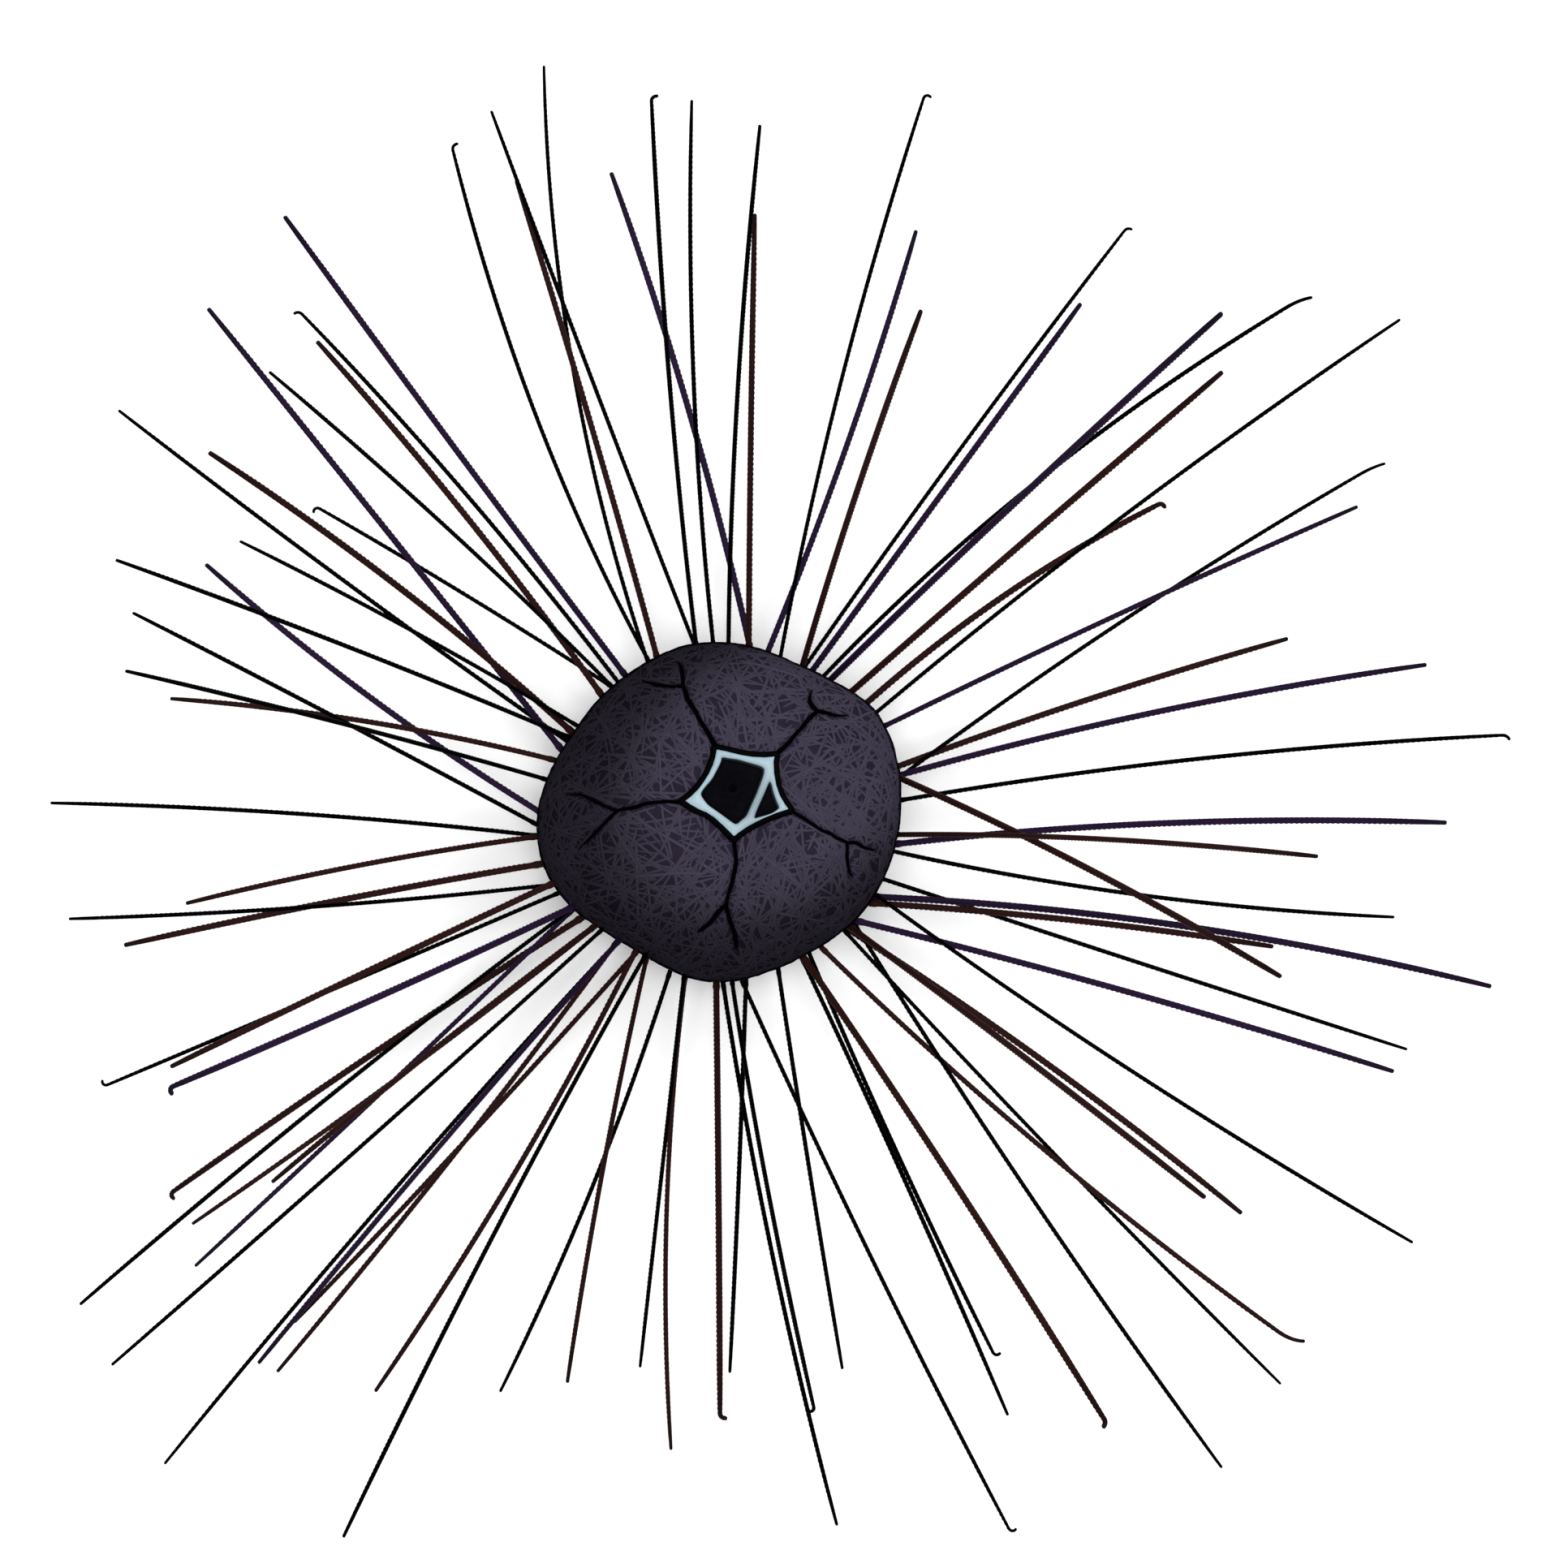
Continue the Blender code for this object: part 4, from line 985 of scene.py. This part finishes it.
def make_outline():
    """The black cord of thick skin that runs round the star."""
    x, y, flat = plan_grid(STAR_SPAN, 0.13 * MM)
    away = -inside_by(softened(PALE_EDGE, 0), x, y)
    middle = (away - 0.45 * CORD_WIDTH) / (0.62 * CORD_WIDTH)
    z = dome_height(x, y) + 0.34 * MM - 0.36 * MM * middle ** 2 + 0.03 * MM * ripples(flat, 0.0016, 41, 2)
    return kept_sheet(x, y, z, (away > -0.42 * MM) & (away < CORD_WIDTH + 0.30 * MM), 27.0 * MM)


# Long spines

WHORL_STEP = 1.1 * MM
SPINE_SIDES = 9
# Rise of the shaft's middle, as a share of its length
UP_BOW = 0.008
# Length of a hooked and of a gently turned tip
HOOK_RUN = 2.0 * MM
GENTLE_RUN = 6.0 * MM
HOOK_STEP = 0.16 * MM
# Profiles of the small round forms on the skin, in shares of their radius and height, up to the pole
BOSS = ((1.25, -0.45), (1.15, 0.04), (1.02, 0.10), (0.86, 0.02), (0.66, 0.38), (0.46, 0.58), (0.34, 0.60),
        (0.30, 0.74), (0.20, 0.94))
GRAIN = ((1.25, -0.35), (0.95, 0.25), (0.55, 0.8))


def mound(heap, profile, azimuth, angle, radius, height, sides, size, clear=0.0):
    """A tubercle or small bump, left out where a crack is nearer than clear."""
    ground, out = ground_at(azimuth, angle)
    if crack_reach(ground)[0] < clear:
        return
    across = unit(np.cross(out, UP))
    turns = TAU * np.arange(sides)[:, None] / sides
    ring = (np.cos(turns) * across + np.sin(turns) * np.cross(out, across)) * radius
    rings = [ground + ring * wide + out * height * tall for wide, tall in profile]
    points = np.vstack([*rings, ground + out * height])
    rows, corner = len(profile), unwrap(azimuth, angle)
    heap.add(points, [grid_faces(rows, sides, True)[:, ::-1],
                      fan_faces((rows - 1) * sides, sides, rows * sides)[:, ::-1]],
             [grid_patch(rows, sides, corner, size, True)[:, ::-1], fan_patch(sides, corner, size)[:, ::-1]])


def boss(heap, azimuth, angle, radius, height, sides):
    """A tubercle: a low ringed mound with a small knob on top."""
    mound(heap, BOSS, azimuth, angle, radius, height, sides, PATCH)


def shaft_radii(t, base, length):
    """Radii along a spine: base cup, milled ring, even shaft and a short taper to a rounded tip."""
    run = t * length
    shaft = np.interp(t, [0.0, 0.5, 0.75, 0.88, 0.96, 1.0], [1.0, 1.0, 0.99, 0.94, 0.82, 0.68])
    left = held((length - run) / (0.35 * MM))
    shaft *= 0.15 + 0.85 * np.sqrt(1.0 - (1.0 - left) ** 2)
    return base * (shaft + 0.30 * bell(run - 1.2 * MM, 0.35 * MM) + 0.2 * bell(run - 0.2 * MM, 0.5 * MM))


def spine_line(tip_turn, reach, root_turn, root_angle, rise, bow, curl):
    """Centre line of one long spine, with its shares of the length, and the length."""
    ground, out = ground_at(math.radians(root_turn), math.radians(root_angle))
    root = ground + out * 0.2 * MM
    flat = root * (1.0, 1.0, 0.0)
    seen = ray(math.radians(tip_turn)) * reach * MM
    climb, level = math.sin(math.radians(rise)), math.cos(math.radians(rise))
    length = 140.0 * MM
    for _ in range(20):
        away = seen * (1.0 - (length * climb + root[2] - AMBITUS_HEIGHT) / VIEW_HEIGHT) - flat
        length = np.linalg.norm(away) / level
    away = unit(away)
    size = HOOK_RUN if abs(curl) >= 60 else GENTLE_RUN
    turn_at = 1.0 - size / length
    t = np.linspace(0.0, turn_at, 2 * int(length / WHORL_STEP))
    first = len(t) - 1
    t = np.append(t, np.linspace(turn_at, 1.0, int(size / HOOK_STEP) + 1)[1:])
    sag = np.cross(UP, away) * bow * MM + UP * UP_BOW * length
    line = root + (away * level + UP * climb) * length * t[:, None] + sag * (4.0 * t * (1.0 - t))[:, None]
    if curl:
        run = (t[first:] - t[first]) * length
        turn = math.radians(curl) * (run / run[-1]) ** 1.3
        start = unit(line[first] - line[first - 3])
        steps = np.diff(run, prepend=0.0)
        line[first:] = (line[first] + start * np.cumsum(steps * np.cos(turn))[:, None]
                        + unit(np.cross(UP, start)) * np.cumsum(steps * np.sin(turn))[:, None])
    return line, t, length


def make_long_spines():
    """The long spines of each colour, their tubercles and their centre lines."""
    draw = np.random.default_rng(SPINE_SEED)
    heaps, bosses, lines = {colour: Heap() for colour in SPINE_COLOURS}, Heap(), []
    side = (np.arange(SPINE_SIDES) % 3 == 0)[None]
    for *place, kind, curl in LONG_SPINES:
        line, t, length = spine_line(*place, curl)
        lines.append(line)
        base = SPINE_RADII[kind] * draw.uniform(0.94, 1.06)
        whorl = (np.arange(len(t)) % 2)[:, None]
        milled = held((t * length - 2.2 * MM) / (2.0 * MM))[:, None]
        ripple = 1.0 + milled * (0.13 * whorl * side + 0.10 * whorl - 0.05)
        azimuth, angle = math.radians(place[2]), math.radians(place[3])
        tube(heaps[SPINE_COLOURS[kind]], line, shaft_radii(t, base, length), SPINE_SIDES,
             unwrap(azimuth, angle), ripple, UP, t, tone=draw.uniform(0.3, 1.0))
        boss(bosses, azimuth, angle, base * 1.7, 0.45 * MM, 14)
    return heaps, bosses, lines


# Small bumps of the skin: count, belt, least gap, and least and greatest radius

GRANULES = (
    (300, 62.0, 4.0, 1.3 * MM, 0.13, 0.24),
    (620, 4.0, -60.0, 1.15 * MM, 0.22, 0.48),
)


def make_granules():
    """Fine and few on the upper side, coarser and close together below, none on the bare rim."""
    draw = np.random.default_rng(BUMP_SEED)
    heap = Heap()
    belts = [(scatter(draw, *belt), small, great) for *belt, small, great in GRANULES]
    for spots, small, great in belts:
        for azimuth, _, angle in spots:
            if angle > 0 and angle > angle_for(azimuth, star_at(azimuth) + 1.4 * MM):
                continue
            radius = draw.uniform(small, great) * MM
            if -0.2 < shell_out(azimuth, angle)[2] < 0.3:
                continue
            height = draw.uniform(0.45, 0.8) * radius
            mound(heap, GRAIN, azimuth, angle, radius, height, 7, 2.0 / 3.0 * PATCH, 0.9 * MM)
    return heap


# Oral spines: the forty that stand on the floor and many shorter ones between them

ORAL_SIDES = 8
ORAL_BELT = (260, -17.0, -62.0, 2.3 * MM)
FLOOR_GAP = 0.9 * MM


def under_disc(points, share=0.93):
    """The points, drawn in where they would show beyond the disc's edge from above."""
    limit = share * TEST_RADIUS * (1.0 + waves_at(np.arctan2(points[..., 1], points[..., 0])))
    share = np.minimum(1.0, limit / np.maximum(np.hypot(points[..., 0], points[..., 1]), 1e-6))
    return points * np.stack([share, share, np.ones_like(share)], -1)


def oral_spine(heap, line, base, corner, foot, tone, grounded=False):
    """One short milled spine; foot is the share of its radius that is left at the end."""
    t = np.linspace(0.0, 1.0, len(line))
    run = t * np.linalg.norm(line[-1] - line[0])
    shaft = np.interp(t, [0.0, 0.35, 0.8, 1.0], [0.95, 1.0, 0.82, foot])
    whorl = (np.arange(len(line)) % 2)[:, None]
    side = (np.arange(ORAL_SIDES) % 2 == 0)[None]
    calm = held(t * 8.0 - 1.0) * held((1.0 - t) * 10.0)
    tube(heap, line, base * (shaft + 0.55 * bell(run - 0.9 * MM, 0.3 * MM)), ORAL_SIDES, corner,
         1.0 + calm[:, None] * (0.10 * whorl * side - 0.03), shares=t, grounded=grounded, tone=tone)


def prop_lines():
    """Corners of the oral spines that stand on the floor, drawn as the solids draw them, and their places."""
    draw = np.random.default_rng(SEED)
    for number in range(10):
        middle = FIRST_MIDLINE + SECTOR_STEP * 0.5 * number
        for angle, off, run in AMB_PROPS if number % 2 else INTER_PROPS:
            azimuth, angle = math.radians(middle + off), math.radians(angle)
            root = shell(azimuth, angle)
            way = ray(azimuth + math.radians(draw.normal(0.0, 7.0)))
            foot = root * (1.0, 1.0, 0.0) + way * root[2] * run * draw.uniform(0.85, 1.15)
            yield (root, 0.5 * (root + foot) + way * 0.04 * root[2], foot), azimuth, angle


def make_oral_spines(long_lines):
    """The short spines of the underside, the tubercles of those on the floor, and the room that is taken."""
    draw = np.random.default_rng(ORAL_SEED)
    heap, bosses, taken = Heap(), Heap(), Thicket()
    for line in long_lines:
        taken.add(line[:80:10], 0.6 * MM)
    for corners, azimuth, angle in prop_lines():
        line = under_disc(smooth_line(corners, 30), 0.975)
        oral_spine(heap, line, PROP_RADIUS * 0.88, unwrap(azimuth, angle), 0.80, draw.uniform(0.3, 1.0), True)
        boss(bosses, azimuth, angle, 1.25 * MM, 0.6 * MM, 12)
        taken.add(line[::6], PROP_RADIUS)
    for azimuth, _, angle in scatter(draw, *ORAL_BELT):
        ground, out = ground_at(azimuth, angle)
        root = ground + out * 0.3 * MM
        size = draw.uniform(6.0, 11.0) * MM * (0.75 + 0.25 * abs(angle) / 0.9)
        way = out + ray(azimuth) * draw.uniform(-0.2, 0.35) + draw.normal(0.0, 0.12, 3)
        way[2] = min(way[2], -0.35)
        way = unit(way)
        end = root + way * size
        if end[2] < FLOOR_GAP:
            end = root + way * size * (root[2] - FLOOR_GAP) / (root[2] - end[2])
        end = under_disc(end)
        bend = np.cross(way, draw.normal(size=3)) * size * 0.05
        line = under_disc(smooth_line([root, 0.5 * (root + end) + bend, end], 17))
        base = draw.uniform(0.24, 0.36) * MM
        if taken.gap(line[2::5], base) >= 0.2 * MM:
            taken.add(line[::5], base)
            oral_spine(heap, line, base, unwrap(azimuth, angle), 0.16, draw.uniform(0.3, 1.0))
    return heap, bosses, taken


def make_tube_feet(taken):
    """Soft tube feet in double rows down both edges of every narrow sector, each with its sucker."""
    draw = np.random.default_rng(FEET_SEED)
    heap = Heap()
    t = np.linspace(0.0, 1.0, 18)
    for middle, off, angle in product(NARROW_MIDDLES, (-8.6, 8.6), np.linspace(-20.0, -66.0, 17)):
        azimuth = math.radians(middle + off + draw.uniform(-0.8, 0.8))
        angle = math.radians(angle + draw.uniform(-0.8, 0.8))
        root, out = ground_at(azimuth, angle)
        size = draw.uniform(3.5, 8.5) * MM
        way = unit(out - 0.35 * UP + draw.normal(0.0, 0.2, 3))
        end = root + way * size
        end[2] = max(end[2], 1.0 * MM)
        end = under_disc(end)
        bend = np.cross(way, draw.normal(size=3)) * size * 0.12
        line = under_disc(smooth_line([root - out * 0.2 * MM, 0.6 * root + 0.4 * end + bend,
                                       0.2 * root + 0.8 * end - 0.4 * bend, end], 18))
        base = draw.uniform(0.16, 0.23) * MM
        if taken.gap(line[2::4], base) < 0.12 * MM:
            continue
        taken.add(line[::4], base)
        wide = base * (1.25 - 0.45 * t + 0.06 * np.sin(60.0 * t))
        wide[-3:] = base * np.array([1.2, 2.2, 2.1])
        tube(heap, line, wide, 8, unwrap(azimuth, angle), tone=draw.uniform(0.0, 1.0))
    return heap


# Mouth: radii and heights of the soft disc in mm, from its edge over the lip to inside the teeth

MOUTH_PROFILE = (
    (11.62, -13.1), (11.45, -13.75), (10.2, -14.05), (8.2, -14.15), (6.9, -14.3), (5.6, -14.85),
    (4.9, -14.95), (4.35, -14.4), (4.0, -13.0), (3.75, -11.7), (3.2, -11.35), (1.6, -11.25), (0.25, -11.22),
)
MOUTH_ROWS = 74
MOUTH_COLUMNS = 360
# The mouth's plates and gills: radians off the middle of a narrow and of a wide sector, and reach
PLATE_OFF = (-0.16, 0.16)
PLATE_REACH = 7.0 * MM
GILL_OFF = (-0.42, 0.42)
GILL_REACH = 11.0 * MM
TWIGS = 7
TOOTH_ROWS = 26
TOOTH_SIDES = 24
TOOTH_TILT = math.radians(36.0)
# Of a tooth in mm: its inner face from the mouth's middle, its top and its length
TOOTH_INNER = 0.52
TOOTH_TOP = -11.6
TOOTH_LENGTH = 4.6


def make_peristome():
    """The soft disc round the mouth with radial folds, ten plates and the lip round the teeth."""
    turns = np.linspace(0.0, TAU, MOUTH_COLUMNS, endpoint=False)
    r, z = smooth_line(MOUTH_PROFILE, MOUTH_ROWS).T * MM
    radius, turn = np.meshgrid(r, turns, indexing="ij")
    height = np.repeat(z[:, None], MOUTH_COLUMNS, 1)
    x, y = radius * np.cos(turn), radius * np.sin(turn)
    spots = np.stack([x, y, height], -1)
    open_skin = held((radius - 5.2 * MM) / (1.5 * MM)) * held((11.5 * MM - radius) / MM)
    folds = np.cos(60.0 * turn + 2.0 * ripples(spots, 0.006, 12, 2)) * held(radius / (11.0 * MM))
    height -= open_skin * (0.10 * MM * folds + 0.14 * MM * ripples(spots, 0.0035, 14, 3))
    height += bell(radius - 4.9 * MM, 0.8 * MM) * 0.12 * MM * np.cos(35.0 * turn)
    for middle, off in product(NARROW_MIDDLES, PLATE_OFF):
        plate = ray(math.radians(middle) + off) * PLATE_REACH
        away = np.hypot(x - plate[0], y - plate[1])
        height -= 0.35 * MM / (1.0 + np.exp((away - 0.75 * MM) / (0.09 * MM)))
    faces = grid_faces(MOUTH_ROWS, MOUTH_COLUMNS, True)[:, ::-1]
    spread = 0.49 * (1.0 - np.linspace(0.0, 0.96, MOUTH_ROWS))[:, None]
    uv = np.stack([0.5 + spread * np.cos(turns), 0.5 + spread * np.sin(turns)], -1).reshape(-1, 2)
    return Heap().add(leaned(x, y, height).reshape(-1, 3), [faces], [uv[faces]])


def make_mouth_feet():
    """Ten stout tube feet on the mouth's plates and small branched gills at the disc's edge."""
    draw = np.random.default_rng(MOUTH_SEED)
    heap = Heap()

    def shoot(root, way, least, most, stray, wide, sides, corner):
        end = root + unit(way) * draw.uniform(least, most) * MM
        line = smooth_line([root, 0.5 * (root + end) + draw.normal(0.0, stray, 3) * MM, end], len(wide))
        tube(heap, line, wide, sides, corner, tone=draw.uniform())

    t = np.linspace(0.0, 1.0, 16)
    foot = 0.36 * MM * (1.15 - 0.3 * t + 0.05 * np.sin(50.0 * t))
    foot[-2:] = 0.36 * MM * np.array([1.6, 1.45])
    twig = 0.15 * MM * np.linspace(1.3, 0.6, 9) * (1.0 + 0.25 * (np.arange(9) % 2))
    for number, middle in enumerate(NARROW_MIDDLES):
        for off in PLATE_OFF:
            azimuth = math.radians(middle) + off
            x, y, _ = ray(azimuth) * PLATE_REACH
            way = 0.3 * ray(azimuth) - UP + draw.normal(0.0, 0.12, 3)
            shoot(leaned(x, y, -14.45 * MM), way, 3.4, 4.8, 0.2, foot, 10,
                  unwrap(azimuth, math.radians(-76.0)))
        for off in GILL_OFF:
            azimuth = math.radians(FIRST_MIDLINE + SECTOR_STEP * number) + off
            x, y, _ = ray(azimuth) * GILL_REACH
            for _ in range(TWIGS):
                way = ray(azimuth) * draw.uniform(-0.3, 0.5) - UP + draw.normal(0.0, 0.35, 3)
                way[2] = min(way[2], -0.4)
                shoot(leaned(x, y, -13.95 * MM), way, 1.2, 2.4, 0.15, twig, 6,
                      unwrap(azimuth, math.radians(-72.0)))
    return heap


def make_teeth():
    """Five pointed teeth that close on one another, each curved and faintly ridged across its back."""
    sections = np.linspace(0.0, 1.0, TOOTH_ROWS)
    t, turn = np.meshgrid(sections, np.linspace(0.0, TAU, TOOTH_SIDES, endpoint=False), indexing="ij")
    depth = 0.5 * (1.0 - np.cos(turn))
    far = np.interp(t, [0.0, 0.5, 0.8, 1.0], [2.85, 2.45, 1.65, 0.92])
    reach = TOOTH_INNER + (far - TOOTH_INNER) * depth
    wide = np.maximum(0.05, (reach * math.tan(TOOTH_TILT) - 0.15 / math.cos(TOOTH_TILT)) * 0.82)
    side = np.sign(np.sin(turn)) * np.abs(np.sin(turn)) ** 0.55 * wide * (1.0 - 0.35 * depth ** 6) * MM
    reach = (reach + 0.03 * np.sin(40.0 * t) * depth) * MM
    z = (TOOTH_TOP - TOOTH_LENGTH * t + 0.25 * t * (1.0 - depth)) * MM
    last, hub = (TOOTH_ROWS - 1) * TOOTH_SIDES, TOOTH_ROWS * TOOTH_SIDES
    faces = [grid_faces(TOOTH_ROWS, TOOTH_SIDES, True)[:, ::-1], fan_faces(last, TOOTH_SIDES, hub)[:, ::-1],
             np.roll(fan_faces(0, TOOTH_SIDES, hub + 1), 1, axis=1)]
    uvs = [grid_patch(TOOTH_ROWS, TOOTH_SIDES, (0.5, 0.55), 0.8, True)[:, ::-1]]
    uvs += [fan_patch(TOOTH_SIDES, (u, 0.045), 0.07)[:, ::-1] for u in (0.055, 0.235)]
    wear = np.append(np.repeat(sections, TOOTH_SIDES), [1.0, 0.0])
    for number in range(5):
        out = ray(math.radians(FIRST_MIDLINE + SECTOR_STEP * number))
        points = leaned(out[0] * reach - out[1] * side, out[1] * reach + out[0] * side, z).reshape(-1, 3)
        tip = points[-TOOTH_SIDES:].mean(axis=0) - 0.06 * MM * UP
        points = np.vstack([points, tip, points[:TOOTH_SIDES].mean(axis=0)])
        yield Heap().add(points, faces, uvs, wear=wear)


# The whole animal

SECTORS = [f"{kind}ambulacrum_{n}" for n in range(1, 6) for kind in ("", "inter")]

make_skin().build("urchin_skin", skin_material(), "wide_sectors", SECTORS)
make_net().build("skin_net", net_material(), "wide_sectors", SECTORS)
make_crack_lining().build("crack_lining", crack_material(), "wide_sectors", SECTORS[1::2])
make_star().build("star_plates", star_material(), "star", ("apical_star", "star_bar"))
membrane = membrane_material("dark_membrane", (0, 0, 2), (5, 5, 10))
make_field(LEFT_FIELD, 3, True).build("left_membrane", membrane, "dark_membrane", ("periproct",))
make_field(RIGHT_FIELD, 4, False).build("right_membrane", membrane, "dark_membrane", ("periproct_corner",))
make_outline().build("star_outline", membrane_material("star_outline", BLACK, (3, 3, 5)),
                     "dark_membrane", ("apical_star",))

heaps, bosses, long_lines = make_long_spines()
for colour, deep, pale, specular in (
        ("black", BLACK, (5, 5, 6), 0.005), ("brown", (30, 13, 13), (46, 22, 21), 0.02),
        ("purple", (26, 14, 36), (40, 25, 54), 0.02)):
    paint = spine_material(f"{colour}_spines", deep, pale, specular)
    heaps[colour].build(f"{colour}_spines_1", paint, "wide_sectors", SECTORS)
boss_paint = flesh_material("tubercles", (8, 7, 10), (26, 23, 30), 0.55, 0.05, 600.0)
bosses.build("tubercles", boss_paint, "wide_sectors", SECTORS)
granule_paint = flesh_material("granules", (20, 18, 24), (36, 33, 42), 0.6, 0.02, 900.0)
make_granules().build("skin_granules", granule_paint, "narrow_sectors", SECTORS)
oral, oral_bosses, taken = make_oral_spines(long_lines)
oral_paint = spine_material("oral_spines", (20, 14, 21), (52, 38, 50), 0.05)
oral.build("oral_spines", oral_paint, "narrow_sectors", SECTORS)
oral_bosses.build("oral_tubercles", boss_paint, "narrow_sectors", SECTORS)
foot_paint = flesh_material("tube_feet", (44, 28, 38), (96, 66, 78), 0.35, 0.4, 500.0, 0.15)
make_tube_feet(taken).build("tube_feet", foot_paint, "narrow_sectors", SECTORS)
disc_paint = flesh_material("mouth_disc", (34, 24, 32), (82, 60, 70), 0.5, 0.35, 500.0, 0.1)
make_peristome().build("mouth_disc", disc_paint, "mouth_disc", ("peristome",))
mouth_paint = flesh_material("mouth_feet", (52, 34, 42), (110, 78, 88), 0.4, 0.4, 600.0, 0.15)
make_mouth_feet().build("mouth_feet", mouth_paint, "mouth_disc", ("peristome",))
tooth_paint = tooth_material()
for number, heap in enumerate(make_teeth(), 1):
    heap.build(f"dressed_tooth_{number}", tooth_paint, "teeth", (f"tooth_{number}",))


# Floor, light and camera

FLOOR_HALF = 3.0
FLOOR_COLOURS = ((248.15, 248.15, 248.15), (251.61, 251.61, 251.61))
WHITE_LIGHT = 0.44
# Lamps: name, place, size across and power
LAMPS = (
    ("key", (1.1, 0.7, 1.5), 1.3, 13.0),
    ("fill", (-1.2, -0.6, 1.6), 1.6, 6.0),
    ("top", (0.0, 0.0, 2.2), 1.1, 37.0),
)
SENSOR = 36.0
PHOTO_WIDTH = 1932.0
# How far the shell's middle lies from the photo's, in its pixels
PHOTO_SHIFT = (80.0, 35.0)


def floor_material():
    paint = Paint("studio_floor")
    shade = paint.mix(paint.noise(60.0), *FLOOR_COLOURS)
    paint.feed(paint.shader, {"Base Color": shade, "Roughness": 0.9, "Specular IOR Level": 0.0})
    return paint.material


floor_mesh = bpy.data.meshes.new("floor")
corners = ((-1, -1), (1, -1), (1, 1), (-1, 1))
floor_mesh.from_pydata([(x * FLOOR_HALF, y * FLOOR_HALF, 0.0) for x, y in corners], [], [(0, 1, 2, 3)])
floor_mesh.materials.append(floor_material())
floor = bpy.data.objects.new("floor", floor_mesh)
bpy.context.scene.collection.objects.link(floor)

world = bpy.data.worlds.new("studio")
bpy.context.scene.world = world
world.use_nodes = True
world.node_tree.nodes["Background"].inputs["Color"].default_value = (1.0, 1.0, 1.0, 1.0)
world.node_tree.nodes["Background"].inputs["Strength"].default_value = WHITE_LIGHT


def lamp(name, place, size, power):
    """A round lamp that points at the origin."""
    data = bpy.data.lights.new(name, "AREA")
    data.shape = "DISK"
    data.size = size
    data.energy = power
    obj = bpy.data.objects.new(name, data)
    obj.location = place
    obj.rotation_euler = (-Vector(place)).to_track_quat("-Z", "Y").to_euler()
    bpy.context.scene.collection.objects.link(obj)


for name, place, size, power in LAMPS:
    lamp(name, place, size, power)

bpy.context.scene.view_settings.view_transform = "Standard"
camera = bpy.data.cameras.new("camera")
camera.sensor_width = SENSOR
camera.lens = SENSOR * VIEW_HEIGHT / (PHOTO_WIDTH * PIXEL)
camera.shift_x = PHOTO_SHIFT[0] / PHOTO_WIDTH
camera.shift_y = PHOTO_SHIFT[1] / PHOTO_WIDTH
camera.clip_start = 0.05
seer = bpy.data.objects.new("camera", camera)
seer.location = (HERE[0], HERE[1], AMBITUS_HEIGHT + VIEW_HEIGHT)
bpy.context.scene.collection.objects.link(seer)
bpy.context.scene.camera = seer
